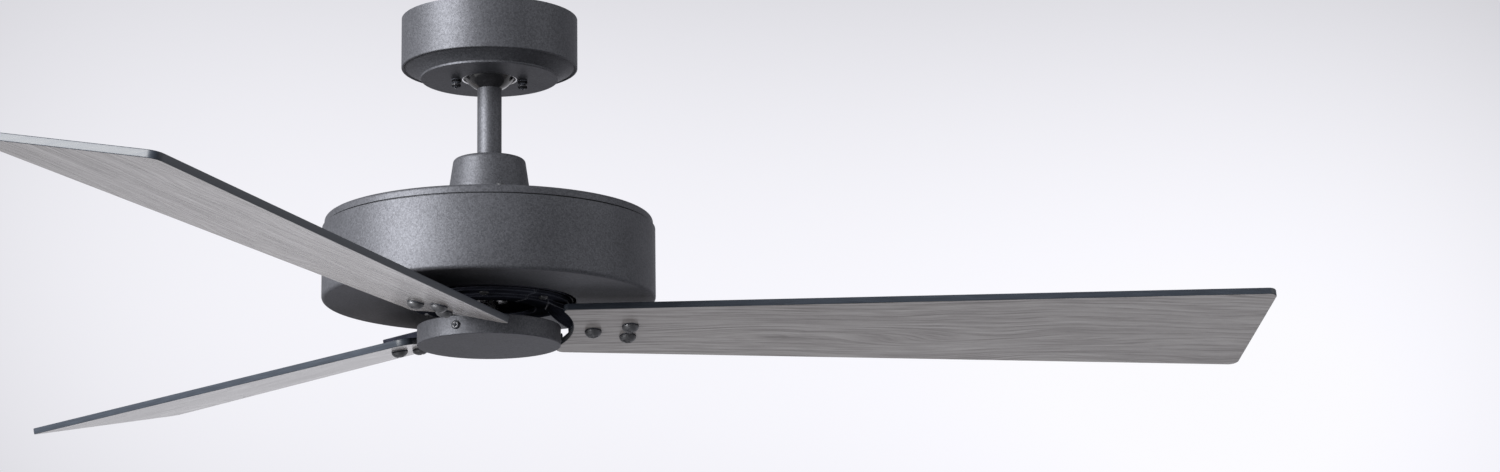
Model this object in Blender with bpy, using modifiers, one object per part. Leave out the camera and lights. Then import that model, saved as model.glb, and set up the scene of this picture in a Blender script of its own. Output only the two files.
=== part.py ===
"""Ceiling fan with three blades under a drum housing, hung on a downrod from a swivel ball.

The origin is on the ceiling plane, on the fan's axis. +Z is up and the first blade points along +X.
Heights of the hanging parts are worked out downwards from the ball, and those of the turning
parts upwards from the blade plane, which is where the blades' undersides meet the axis.
"""

import math

import bmesh
import bpy
from mathutils import Matrix, Vector

# Clearances
FIT = 0.0003
RUNNING_FIT = 0.0004
AIR_GAP = 0.0006
WELD = 0.000002

# Canopy and hanger bracket
CANOPY_RADIUS = 0.0771
CANOPY_DEPTH = 0.0541
CANOPY_WALL_HEIGHT = 0.0445
CANOPY_DISC_RADIUS = 0.0602
CANOPY_STEP = 0.0020
CANOPY_SHEET = 0.0012
CANOPY_HOLE_RADIUS = 0.0230
CANOPY_SCREW_REACH = 0.0290
BRACKET_SHEET = 0.0020
BRACKET_HALF_LENGTH = 0.0430
BRACKET_HALF_WIDTH = 0.0160
BRACKET_SEAT_RADIUS = 0.0350
BRACKET_WIRE_HOLE_RADIUS = 0.0080
BRACKET_WIRE_HOLE_REACH = 0.0220
BRACKET_SLOT_WIDTH = 0.0236

# Swivel ball
BALL_RADIUS = 0.0254
BALL_ABOVE_CANOPY_FACE = 0.0145
BALL_TOP_HEIGHT = 0.0180
BALL_PIN_RADIUS = 0.0030
BALL_PIN_INSET = 0.0018
BALL_SET_SCREW_RISE = 0.0090

# Downrod
ROD_RADIUS = 0.01065
ROD_WALL = 0.00265
ROD_LENGTH = 0.1500
ROD_ABOVE_BALL_CENTRE = 0.0200

# Coupling between the rod and the motor shaft
COLLAR_WALL = 0.0036
COLLAR_OVERLAP = 0.0405
COUPLING_WEB = 0.0030
COUPLING_FLANGE_RADIUS = 0.0380
COUPLING_FLANGE_THICKNESS = 0.0037
COUPLING_HUB_DROP = 0.0039
CLEVIS_PIN_RADIUS = 0.0030
CLEVIS_PIN_HEAD_RADIUS = 0.0048
CLEVIS_PIN_RISE = 0.0200
COUPLING_SET_SCREW_RISE = 0.0320
CLIP_WIRE_RADIUS = 0.0006

# Coupling cover
COVER_TOP_RADIUS = 0.0312
COVER_BASE_RADIUS = 0.0392
COVER_HEIGHT = 0.0540
COVER_ROUND = 0.0038
COVER_SHEET = 0.0012

# Drum housing
HOUSING_RADIUS = 0.1443
HOUSING_HEIGHT = 0.0638
HOUSING_SHEET = 0.0012
HOUSING_ROUND = 0.0035
HOUSING_OPENING_RADIUS = 0.0755
HOUSING_LIP_HEIGHT = 0.0022
HOUSING_LEDGE_WIDTH = 0.0146
LID_INSET = 0.0020
LID_RADIUS = HOUSING_RADIUS - LID_INSET
LID_HEIGHT = 0.0070
LID_SHEET = 0.0015
LID_ROUND = 0.0030
SEAM_HEIGHT = 0.0012
ROD_END_ABOVE_LID = 0.0110
LID_SCREW_REACH = 0.0270
HOUSING_SCREW_INSET = 0.0093
HOUSING_SCREW_REACH = LID_RADIUS - HOUSING_SCREW_INSET

# Running gaps of the rotor
HOUSING_ABOVE_BLADE_PLANE = 0.0247
ROTOR_ABOVE_BLADE_PLANE = 0.0248

# Motor
SHAFT_RADIUS = 0.0082
SHAFT_BORE_RADIUS = 0.0046
SHAFT_END_RADIUS = 0.0060
SHAFT_ABOVE_FLANGE = 0.0098
BEARING_RADIUS = 0.0200
BEARING_WIDTH = 0.0120
BEARING_LIP_RADIUS = 0.0150
BEARING_LIP = 0.0009
BEARING_BOSS_WALL = 0.0037
ROTOR_RADIUS = 0.0980
ROTOR_WALL = 0.0022
ROTOR_PLATE = 0.0030
ROTOR_HUB_RADIUS = 0.0730
ROTOR_HUB_STEP = 0.0037
ROTOR_ROUND = 0.0060
ROTOR_BASE_HEIGHT = 0.0292
ROTOR_COVER_HEIGHT = 0.0214
STATOR_RADIUS = 0.0860
STATOR_STACK = 0.0200
STATOR_ABOVE_BASE = 0.0192
STATOR_TEETH = 18
STATOR_SLOT_SHARE = 0.42
STATOR_ROOT_RADIUS = 0.0480
WINDING_INNER_RADIUS = 0.0500
WINDING_OUTER_RADIUS = 0.0780
WINDING_HEIGHT = 0.0070
MAGNET_HEIGHT = 0.0270
BOARD_INNER_RADIUS = 0.0262
BOARD_OUTER_RADIUS = 0.0470
BOARD_THICKNESS = 0.0016
BOARD_TO_BOSS = 0.0031

# Blades
BLADE_COUNT = 3
BLADE_TIP_REACH = 0.6860
BLADE_ROOT_RADIUS = 0.0730
BLADE_ROOT_WIDTH = 0.0954
BLADE_ROOT_WIDTH_REACH = 0.0600
BLADE_TIP_WIDTH = 0.1651
BLADE_THICKNESS = 0.0060
BLADE_SIDE_SHIFT = 0.0036
BLADE_PITCH = math.radians(11.9)
BLADE_RISE = math.radians(0.9)
BLADE_TIP_RAKE = math.radians(2.0)
BLADE_TIP_ROUND = 0.0080
BLADE_ROOT_ROUNDS = (0.0090, 0.0040)
BLADE_SCREW_INNER_REACH = 0.0905
BLADE_SCREW_OUTER_REACH = 0.1218
BLADE_SCREW_SPREAD = 0.0112
BLADE_SCREW_SHIFT = 0.0024
BLADE_SCREW_HEAD_RADIUS = 0.0073
BLADE_SCREW_HEAD_HEIGHT = 0.0060
BLADE_SCREW_RADIUS = 0.0022

# Blade irons
IRON_PAD_START_RADIUS = 0.0735
IRON_PAD_END_REACH = 0.1385
IRON_PAD_HALF_WIDTH = 0.0210
IRON_PAD_THICKNESS = 0.0060
IRON_PAD_FLOOR = 0.0032
IRON_RIM = 0.0026
IRON_ARM_START = (0.0480, -0.0340, -0.0060)
IRON_ARM_MIDDLE = (0.0600, -0.0280, 0.0020)
IRON_ARM_MIDDLE_HEIGHT = 0.0085
IRON_ARM_END = (0.0770, -0.0195, 0.0195)
IRON_RING_INNER_RADIUS = 0.0400
IRON_RING_RADIUS = 0.0575
IRON_RING_DROP = 0.0065
IRON_RING_THICKNESS = 0.0040
IRON_FLANGE_INNER_RADIUS = 0.0555
IRON_FLANGE_RADIUS = 0.0700
IRON_FLANGE_THICKNESS = 0.0033
IRON_SPLIT = 0.0010
IRON_SCREW_REACH = 0.0630
IRON_SCREW_ANGLES = (math.radians(-47.0), math.radians(22.0))

# Bottom cup
CUP_RADIUS = 0.0620
CUP_HEIGHT = 0.0168
CUP_ABOVE_BLADE_PLANE = 0.0024
CUP_SHEET = 0.0012
CUP_ROUND = 0.0008
CUP_PLATE_SHEET = 0.0016
CUP_PLATE_DROP = 0.0018
CUP_TAB_LENGTH = 0.0106
CUP_TAB_HALF_WIDTH = 0.0060
CUP_SCREW_DROP = 0.0084
CUP_SCREW_TURN = math.radians(-1.0)
NUT_FLATS = 0.0190
NUT_HEIGHT = 0.0050
SHAFT_END_LENGTH = 0.0084

# Motor lead inside the rod and shaft
LEAD_RADIUS = 0.0016
LEAD_SIDE_SHIFT = 0.0052
LEAD_BORE_SHIFT = 0.0024
LEAD_BEND = 0.0080
LEAD_HOLE_RADIUS = 0.0022
PLUG_WIDTH = 0.0140
PLUG_HEIGHT = 0.0120

# Small screws
M4_RADIUS = 0.0020
M4_HEAD_RADIUS = 0.0040
M4_HEAD_HEIGHT = 0.0024
CANOPY_SCREW_HEAD_RADIUS = 0.0042
CANOPY_SCREW_HEAD_HEIGHT = 0.0076
CUP_SCREW_HEAD_RADIUS = 0.00365
SET_SCREW_RADIUS = 0.0025
SCREW_END = 0.0010

# Fineness of the round pieces
STEPS_LARGE = 48
STEPS_INSIDE = 36
STEPS_MEDIUM = 32
STEPS_CORE = 24
STEPS_SMALL = 20
STEPS_SCREW = 12

# Heights worked out from the sizes above
BALL_Z = -CANOPY_DEPTH + BALL_ABOVE_CANOPY_FACE
ROD_TOP = BALL_Z + ROD_ABOVE_BALL_CENTRE
ROD_BOTTOM = ROD_TOP - ROD_LENGTH
LID_TOP = ROD_BOTTOM - ROD_END_ABOVE_LID
LID_UNDER = LID_TOP - LID_SHEET
SEAM_TOP = LID_TOP - LID_HEIGHT
SHELL_SHOULDER = SEAM_TOP - SEAM_HEIGHT
SHELL_BOTTOM = SHELL_SHOULDER - HOUSING_HEIGHT
BLADE_PLANE = SHELL_BOTTOM - HOUSING_ABOVE_BLADE_PLANE
ROTOR_BOTTOM = BLADE_PLANE + ROTOR_ABOVE_BLADE_PLANE
ROTOR_SPLIT = ROTOR_BOTTOM + ROTOR_BASE_HEIGHT
ROTOR_PLATE_TOP = ROTOR_SPLIT + FIT + ROTOR_COVER_HEIGHT
FLANGE_TOP = LID_UNDER - FIT
FLANGE_UNDER = FLANGE_TOP - COUPLING_FLANGE_THICKNESS
HUB_UNDER = FLANGE_UNDER - COUPLING_HUB_DROP
STATOR_BOTTOM = ROTOR_BOTTOM + STATOR_ABOVE_BASE
STATOR_TOP = STATOR_BOTTOM + STATOR_STACK
LOWER_BEARING_BOTTOM = ROTOR_BOTTOM + BEARING_LIP + FIT
BOSS_UNDER = STATOR_TOP + FIT + BOARD_THICKNESS + BOARD_TO_BOSS
UPPER_BEARING_BOTTOM = BOSS_UNDER + RUNNING_FIT * 2
UPPER_BEARING_TOP = UPPER_BEARING_BOTTOM + BEARING_WIDTH
SHAFT_TOP = FLANGE_TOP + SHAFT_ABOVE_FLANGE
CUP_TOP = BLADE_PLANE + CUP_ABOVE_BLADE_PLANE
CUP_BOTTOM = CUP_TOP - CUP_HEIGHT
PLATE_TOP = CUP_TOP - CUP_PLATE_DROP
SHAFT_SHOULDER = PLATE_TOP + FIT
SHAFT_BOTTOM = SHAFT_SHOULDER - SHAFT_END_LENGTH
CLEVIS_PIN_Z = ROD_BOTTOM + CLEVIS_PIN_RISE
COUPLING_SET_SCREW_Z = ROD_BOTTOM + COUPLING_SET_SCREW_RISE
COLLAR_BORE_RADIUS = ROD_RADIUS + FIT
COLLAR_RADIUS = COLLAR_BORE_RADIUS + COLLAR_WALL
COLLAR_TOP = ROD_BOTTOM + COLLAR_OVERLAP


def empty_scene():
    for item in list(bpy.data.objects):
        bpy.data.objects.remove(item, do_unlink=True)


def collection(name):
    made = bpy.data.collections.new(name)
    bpy.context.scene.collection.children.link(made)
    return made


def finish(name, colour, roughness, metallic=0.0):
    made = bpy.data.materials.new(name + "_finish")
    made.use_nodes = True
    shader = made.node_tree.nodes["Principled BSDF"]
    shader.inputs["Base Color"].default_value = (*colour, 1.0)
    shader.inputs["Roughness"].default_value = roughness
    shader.inputs["Metallic"].default_value = metallic
    made.diffuse_color = (*colour, 1.0)
    return made


COAT = ((0.062, 0.065, 0.070), 0.45, 0.35)
BLACK_CASTING = ((0.012, 0.012, 0.014), 0.40, 0.0)
BLACK_GLOSS = ((0.010, 0.010, 0.011), 0.12, 0.0)
STEEL = ((0.45, 0.45, 0.46), 0.35, 1.0)
BRIGHT_STEEL = ((0.60, 0.60, 0.61), 0.22, 1.0)
DARK_SCREW = ((0.055, 0.057, 0.062), 0.40, 0.3)
WOOD = ((0.30, 0.29, 0.27), 0.60, 0.0)
COPPER = ((0.70, 0.30, 0.16), 0.35, 1.0)
ALUMINIUM = ((0.72, 0.73, 0.74), 0.40, 1.0)
BOARD_GREEN = ((0.03, 0.16, 0.06), 0.50, 0.0)
LEAD_GREY = ((0.10, 0.10, 0.11), 0.60, 0.0)
PLUG_WHITE = ((0.78, 0.77, 0.72), 0.50, 0.0)
FERRITE = ((0.04, 0.04, 0.045), 0.70, 0.2)


def add(name, data, parent, look):
    """Makes the named part, with its own finish, under a frame and in world coordinates."""
    made = bpy.data.objects.new(name, data)
    PARTS.objects.link(made)
    data.materials.append(finish(name, *look))
    if parent:
        made.parent = parent
        made.matrix_parent_inverse = parent.matrix_world.inverted()
    return made


def frame(name, matrix, parent=None):
    """An empty that carries the pieces of one moving body or of one blade."""
    made = bpy.data.objects.new(name, None)
    PARTS.objects.link(made)
    made.empty_display_size = 0.03
    made.matrix_world = matrix
    if parent:
        made.parent = parent
        made.matrix_parent_inverse = parent.matrix_world.inverted()
    bpy.context.view_layer.update()
    return made


def shade_round(mesh, angle=35.0):
    mesh.shade_smooth()
    mesh.set_sharp_from_angle(angle=math.radians(angle))


def arc(centre_r, centre_z, radius, start, end, count):
    """Points of a round corner in a turned profile, angles in degrees from +R."""
    points = []
    for k in range(count + 1):
        a = math.radians(start + (end - start) * k / count)
        points.append((centre_r + radius * math.cos(a), centre_z + radius * math.sin(a)))
    return points


def profile_mesh(name, profile, closed):
    made = bpy.data.meshes.new(name)
    edges = [(k, k + 1) for k in range(len(profile) - 1)]
    if closed:
        edges.append((len(profile) - 1, 0))
    made.from_pydata([(r, 0.0, z) for r, z in profile], edges, [])
    return made


def add_screw(made, steps):
    turn = made.modifiers.new("turn", "SCREW")
    turn.angle = math.tau
    turn.steps = steps
    turn.render_steps = steps
    turn.use_merge_vertices = True
    turn.merge_threshold = 0.00002
    return turn


def turned(name, profile, steps, parent, look):
    """A ring or tube: the closed profile runs down its outer side and back up its bore."""
    made = add(name, profile_mesh(name, profile, closed=True), parent, look)
    add_screw(made, steps)
    return made


def turned_solid(name, profile, steps, parent, look):
    """A solid of revolution whose profile starts and ends on the axis."""
    made = add(name, profile_mesh(name, profile, closed=False), parent, look)
    add_screw(made, steps)
    return made


def tube_profile(inner, outer, top, bottom):
    return [(outer, top), (outer, bottom), (inner, bottom), (inner, top)]


def as_guide(made):
    """Moves a cutter or an operand to the guides, which aren't parts."""
    for home in list(made.users_collection):
        home.objects.unlink(made)
    GUIDES.objects.link(made)
    made.hide_render = True
    made.display_type = "WIRE"
    return made


def round_cutter(name, start, end, radius, steps=STEPS_SCREW):
    """A cylinder between two points."""
    start, end = Vector(start), Vector(end)
    shape = bmesh.new()
    bmesh.ops.create_cone(shape, cap_ends=True, segments=steps, radius1=radius, radius2=radius,
                          depth=(end - start).length)
    turn = Vector((0, 0, 1)).rotation_difference(end - start).to_matrix().to_4x4()
    bmesh.ops.transform(shape, matrix=Matrix.Translation((start + end) / 2) @ turn, verts=shape.verts)
    mesh = bpy.data.meshes.new(name)
    shape.to_mesh(mesh)
    shape.free()
    return as_guide(link_plain(name, mesh))


def box_cutter(name, low, high):
    """A box from its lowest to its highest corner."""
    return as_guide(link_plain(name, box_mesh(name, low, high)))


def link_plain(name, data):
    made = bpy.data.objects.new(name, data)
    GUIDES.objects.link(made)
    return made


def box_mesh(name, low, high):
    low, high = Vector(low), Vector(high)
    shape = bmesh.new()
    bmesh.ops.create_cube(shape, size=1.0)
    size = high - low
    bmesh.ops.transform(shape, matrix=Matrix.Translation((low + high) / 2) @ Matrix.Diagonal((*size, 1.0)),
                        verts=shape.verts)
    mesh = bpy.data.meshes.new(name)
    shape.to_mesh(mesh)
    shape.free()
    return mesh


def combine(made, other, operation):
    step = made.modifiers.new(operation.lower(), "BOOLEAN")
    step.operation = operation
    step.solver = "EXACT"
    step.object = other


def carve(made, *cutters):
    for cutter in cutters:
        combine(made, cutter, "DIFFERENCE")


def fuse(made, *others):
    for other in others:
        combine(made, other, "UNION")


def circle_points(centre, radius, steps):
    return [(centre[0] + radius * math.cos(math.tau * k / steps), centre[1] + radius * math.sin(math.tau * k / steps))
            for k in range(steps)]


def flat_curve(name, outlines, thickness):
    """A plate: the first outline is its edge, the others are its holes, its middle plane at z = 0."""
    made = bpy.data.curves.new(name, "CURVE")
    made.dimensions = "2D"
    made.fill_mode = "BOTH"
    made.extrude = thickness / 2
    for outline in outlines:
        spline = made.splines.new("POLY")
        spline.points.add(len(outline) - 1)
        for point, (x, y) in zip(spline.points, outline):
            point.co = (x, y, 0.0, 1.0)
        spline.use_cyclic_u = True
    return made


def mesh_of(made, matrix):
    """The evaluated mesh of an object that is then removed, welded and moved by the matrix."""
    bpy.context.view_layer.update()
    graph = bpy.context.evaluated_depsgraph_get()
    mesh = bpy.data.meshes.new_from_object(made.evaluated_get(graph), depsgraph=graph)
    shape = bmesh.new()
    shape.from_mesh(mesh)
    bmesh.ops.remove_doubles(shape, verts=shape.verts, dist=WELD)
    bmesh.ops.recalc_face_normals(shape, faces=shape.faces)
    bmesh.ops.transform(shape, matrix=matrix, verts=shape.verts)
    shape.to_mesh(mesh)
    shape.free()
    bpy.data.objects.remove(made, do_unlink=True)
    return mesh


def plate_mesh(name, outlines, bottom, top, matrix=None):
    """A flat plate between two heights of the frame that the matrix gives."""
    shape = link_plain(name, flat_curve(name, outlines, top - bottom))
    place = Matrix.Translation((0, 0, (top + bottom) / 2))
    return mesh_of(shape, (matrix or Matrix.Identity(4)) @ place)


def rounded_corner(before, corner, after, radius, count=4):
    """The arc that replaces a corner between two straight edges."""
    corner = Vector(corner)
    one = (Vector(before) - corner).normalized()
    two = (Vector(after) - corner).normalized()
    half = one.angle(two) / 2
    centre = corner + (one + two).normalized() * (radius / math.sin(half))
    start = corner + one * (radius / math.tan(half)) - centre
    sweep = start.angle_signed(corner + two * (radius / math.tan(half)) - centre)
    return [tuple(centre + Matrix.Rotation(-sweep * k / count, 2) @ start) for k in range(count + 1)]


def flat_head(radius, height):
    return [(0.0, height), (radius * 0.72, height), (radius, height * 0.55)]


def domed_head(radius, height):
    dome = [(radius * math.sin(a), height * math.cos(a)) for a in (0.0, 0.45, 0.9, 1.3)]
    return dome + [(radius, height * 0.08)]


def grooved_head(radius, height):
    """A low dome on a neck over a collar, so that a slotted edge could be hooked behind it."""
    shape = ((0.0, 1.0), (0.60, 0.97), (0.92, 0.86), (1.0, 0.72), (0.96, 0.62), (0.70, 0.58), (0.70, 0.46), (1.0, 0.42))
    return [(radius * across, height * up) for across, up in shape]


def screw_mesh(name, head_radius, head_height, radius, length, form=flat_head):
    """A screw along Z with its head above z = 0, under which its shank runs down to a short taper."""
    profile = form(head_radius, head_height) + [(head_radius, 0.0), (radius, 0.0), (radius, SCREW_END - length),
                      (radius - SCREW_END * 0.5, -length), (0.0, -length)]
    return profile_mesh(name, profile, closed=False)


def screw(name, at, outwards, head, radius, length, parent, look, form=flat_head):
    """A screw with its head's underside at a point, the head towards the given direction."""
    made = add(name, screw_mesh(name, *head, radius, length, form), parent, look)
    made.matrix_world = (Matrix.Translation(at)
                         @ Vector((0, 0, 1)).rotation_difference(Vector(outwards)).to_matrix().to_4x4())
    add_screw(made, STEPS_SCREW)
    return made


def around(radius, angle, z):
    return (radius * math.cos(angle), radius * math.sin(angle), z)


def build_canopy(parent):
    """The spun cover at the ceiling: wall, hollow shoulder, step, and disc with the ball's hole."""
    wall_low = -CANOPY_WALL_HEIGHT
    face = -CANOPY_DEPTH
    edge, fine = 0.0008, 0.0004
    step_top = face + CANOPY_STEP
    outer, inner = CANOPY_RADIUS - edge, CANOPY_DISC_RADIUS + fine
    rim = wall_low - edge * 0.6

    def shoulder(share, above=0.0):
        return (outer + (inner - outer) * share, rim + (step_top - rim) * share ** 1.6 + above)

    outside = [(CANOPY_RADIUS, 0.0), (CANOPY_RADIUS, wall_low)] + [shoulder(k / 3) for k in range(4)]
    outside += [(CANOPY_DISC_RADIUS, step_top - fine), (CANOPY_DISC_RADIUS, face + fine),
                (CANOPY_DISC_RADIUS - fine, face), (CANOPY_HOLE_RADIUS, face)]
    inside = [(CANOPY_HOLE_RADIUS, face + CANOPY_SHEET), (CANOPY_DISC_RADIUS - CANOPY_SHEET, face + CANOPY_SHEET),
              (CANOPY_DISC_RADIUS - CANOPY_SHEET, step_top + CANOPY_SHEET),
              shoulder(0.65, CANOPY_SHEET * 1.1), shoulder(0.3, CANOPY_SHEET * 1.1),
              (CANOPY_RADIUS - CANOPY_SHEET, wall_low + CANOPY_SHEET * 0.6), (CANOPY_RADIUS - CANOPY_SHEET, 0.0)]
    canopy = turned("canopy", outside + inside, STEPS_LARGE, parent, COAT)
    for number, side in enumerate((-1, 1), start=1):
        x = side * CANOPY_SCREW_REACH
        carve(canopy, round_cutter(f"canopy_screw_hole_{number}", (x, 0, face - 0.002),
                                   (x, 0, face + 0.004), M4_RADIUS + FIT))
        seat = -CANOPY_DEPTH + CANOPY_SHEET + RUNNING_FIT + BRACKET_SHEET
        screw(f"canopy_screw_{number}", (x, 0, face - FIT), (0, 0, -1),
              (CANOPY_SCREW_HEAD_RADIUS, CANOPY_SCREW_HEAD_HEIGHT), M4_RADIUS, seat - face + 0.0004, parent,
              DARK_SCREW, form=grooved_head)


def build_bracket(parent):
    """The pressed steel frame that is screwed to the ceiling and carries the ball in its lower plate."""
    low = -CANOPY_DEPTH + CANOPY_SHEET + RUNNING_FIT
    seat_top = low + BRACKET_SHEET
    half = BRACKET_HALF_LENGTH
    outer = [(-half, low), (half, low), (half, 0.0), (-half, 0.0)]
    inner = [(-half + BRACKET_SHEET, seat_top), (half - BRACKET_SHEET, seat_top),
             (half - BRACKET_SHEET, -BRACKET_SHEET), (-half + BRACKET_SHEET, -BRACKET_SHEET)]
    upright = Matrix.Rotation(math.pi / 2, 4, "X")
    mesh = plate_mesh("hanger_bracket", [outer, inner], -BRACKET_HALF_WIDTH, BRACKET_HALF_WIDTH, upright)
    bracket = add("hanger_bracket", mesh, parent, STEEL)
    disc = round_cutter("bracket_seat_disc", (0, 0, low), (0, 0, seat_top), BRACKET_SEAT_RADIUS, STEPS_MEDIUM)
    fuse(bracket, disc)
    reach = BALL_RADIUS + RUNNING_FIT
    over, under = 0.0010, -0.0010
    seat = [(0.0, seat_top + over)]
    for z in (seat_top + over, low + under):
        seat.append((math.sqrt(reach ** 2 - (z - BALL_Z) ** 2), z))
    seat.append((0.0, low + under))
    seat_cutter = link_plain("bracket_ball_seat", profile_mesh("bracket_ball_seat", seat, closed=False))
    add_screw(seat_cutter, STEPS_MEDIUM)
    as_guide(seat_cutter)
    slot = box_cutter("bracket_rod_slot", (-BRACKET_SLOT_WIDTH / 2, 0, low + under * 2),
                      (BRACKET_SLOT_WIDTH / 2, BRACKET_SEAT_RADIUS * 1.2, seat_top + over * 2))
    carve(bracket, seat_cutter, slot)
    for number, side in enumerate((-1, 1), start=1):
        x = side * CANOPY_SCREW_REACH
        carve(bracket, round_cutter(f"bracket_screw_hole_{number}", (x, 0, low - 0.002), (x, 0, seat_top + 0.002),
                                    M4_RADIUS + FIT))
        x = side * BRACKET_WIRE_HOLE_REACH
        carve(bracket, round_cutter(f"bracket_ceiling_hole_{number}", (x, 0, -BRACKET_SHEET - 0.002), (x, 0, 0.002),
                                    BRACKET_WIRE_HOLE_RADIUS, STEPS_SMALL))


def build_ball(hung, pin_frame):
    """The swivel ball on the rod, with the cross pin through both and its set screw."""
    bore = ROD_RADIUS + FIT
    top = math.acos(BALL_TOP_HEIGHT / BALL_RADIUS)
    low = math.pi - math.asin(bore / BALL_RADIUS)
    rings = 12
    profile = []
    for k in range(rings + 1):
        a = top + (low - top) * k / rings
        profile.append((BALL_RADIUS * math.sin(a), BALL_Z + BALL_RADIUS * math.cos(a)))
    profile.append((bore, BALL_Z + BALL_TOP_HEIGHT))
    ball = turned("hanger_ball", profile, STEPS_MEDIUM, hung, BLACK_GLOSS)
    reach = BALL_RADIUS - BALL_PIN_INSET
    carve(ball, round_cutter("ball_pin_hole", (-BALL_RADIUS - 0.002, 0, BALL_Z), (BALL_RADIUS + 0.002, 0, BALL_Z),
                             BALL_PIN_RADIUS + FIT))
    height = BALL_Z + BALL_SET_SCREW_RISE
    outer = math.sqrt(BALL_RADIUS ** 2 - BALL_SET_SCREW_RISE ** 2)
    carve(ball, round_cutter("ball_set_screw_hole", (0, -outer - 0.003, height), (0, -bore + 0.002, height),
                             SET_SCREW_RADIUS + FIT))
    pin_profile = [(0.0, reach), (BALL_PIN_RADIUS, reach), (BALL_PIN_RADIUS, -reach), (0.0, -reach)]
    pin = turned_solid("hanger_ball_pin", pin_profile, STEPS_SCREW, pin_frame, BRIGHT_STEEL)
    pin.matrix_world = Matrix.Translation((0, 0, BALL_Z)) @ Matrix.Rotation(math.pi / 2, 4, "Y")
    length = outer - 0.0020 - ROD_RADIUS - FIT
    stud = [(0.0, 0.0), (SET_SCREW_RADIUS, 0.0), (SET_SCREW_RADIUS, -length + SCREW_END),
            (SET_SCREW_RADIUS * 0.6, -length), (0.0, -length)]
    set_screw = turned_solid("ball_set_screw", stud, STEPS_SCREW, hung, STEEL)
    set_screw.matrix_world = Matrix.Translation((0, -outer + 0.0020, height)) @ Matrix.Rotation(math.pi / 2, 4, "X")


def build_downrod(hung):
    rod = turned("downrod", tube_profile(ROD_RADIUS - ROD_WALL, ROD_RADIUS, ROD_TOP, ROD_BOTTOM),
                 STEPS_MEDIUM, hung, COAT)
    reach = ROD_RADIUS + 0.003
    carve(rod, round_cutter("rod_ball_pin_hole", (-reach, 0, BALL_Z), (reach, 0, BALL_Z), BALL_PIN_RADIUS + FIT),
          round_cutter("rod_clevis_pin_hole", (-reach, 0, CLEVIS_PIN_Z), (reach, 0, CLEVIS_PIN_Z),
                       CLEVIS_PIN_RADIUS + FIT))


def build_coupling(hung):
    """The cast collar that holds the rod, with the flange that carries the drum and the shaft's thread."""
    shaft_bore = SHAFT_RADIUS + FIT
    profile = [(COLLAR_RADIUS, COLLAR_TOP), (COLLAR_RADIUS, FLANGE_TOP), (COUPLING_FLANGE_RADIUS, FLANGE_TOP),
               (COUPLING_FLANGE_RADIUS, FLANGE_UNDER), (COLLAR_RADIUS, FLANGE_UNDER), (COLLAR_RADIUS, HUB_UNDER),
               (shaft_bore, HUB_UNDER), (shaft_bore, SHAFT_TOP + FIT), (SHAFT_BORE_RADIUS, SHAFT_TOP + FIT),
               (SHAFT_BORE_RADIUS, ROD_BOTTOM - FIT - COUPLING_WEB * 0.3), (SHAFT_BORE_RADIUS + 0.003, ROD_BOTTOM - FIT),
               (COLLAR_BORE_RADIUS, ROD_BOTTOM - FIT), (COLLAR_BORE_RADIUS, COLLAR_TOP)]
    coupling = turned("motor_coupling", profile, STEPS_CORE, hung, STEEL)
    reach = COLLAR_RADIUS + 0.003
    carve(coupling, round_cutter("collar_clevis_hole", (-reach, 0, CLEVIS_PIN_Z), (reach, 0, CLEVIS_PIN_Z),
                                 CLEVIS_PIN_RADIUS + FIT),
          round_cutter("collar_set_screw_hole", (0, -reach, COUPLING_SET_SCREW_Z), (0, -ROD_RADIUS + 0.002, COUPLING_SET_SCREW_Z),
                       SET_SCREW_RADIUS + FIT))
    for number in range(3):
        x, y, z = around(LID_SCREW_REACH, math.radians(90 + 120 * number), FLANGE_TOP)
        carve(coupling, round_cutter(f"flange_screw_hole_{number + 1}", (x, y, z + 0.002),
                                     (x, y, FLANGE_UNDER - 0.002), M4_RADIUS + FIT))
    build_clevis_pin(hung)
    length = COLLAR_RADIUS - ROD_RADIUS - FIT + 0.0030
    stud = [(0.0, 0.0), (SET_SCREW_RADIUS, 0.0), (SET_SCREW_RADIUS, -length + SCREW_END),
            (SET_SCREW_RADIUS * 0.6, -length), (0.0, -length)]
    set_screw = turned_solid("coupling_set_screw", stud, STEPS_SCREW, hung, STEEL)
    set_screw.matrix_world = (Matrix.Translation((0, -ROD_RADIUS - FIT - length, COUPLING_SET_SCREW_Z))
                              @ Matrix.Rotation(math.pi / 2, 4, "X"))


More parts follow.
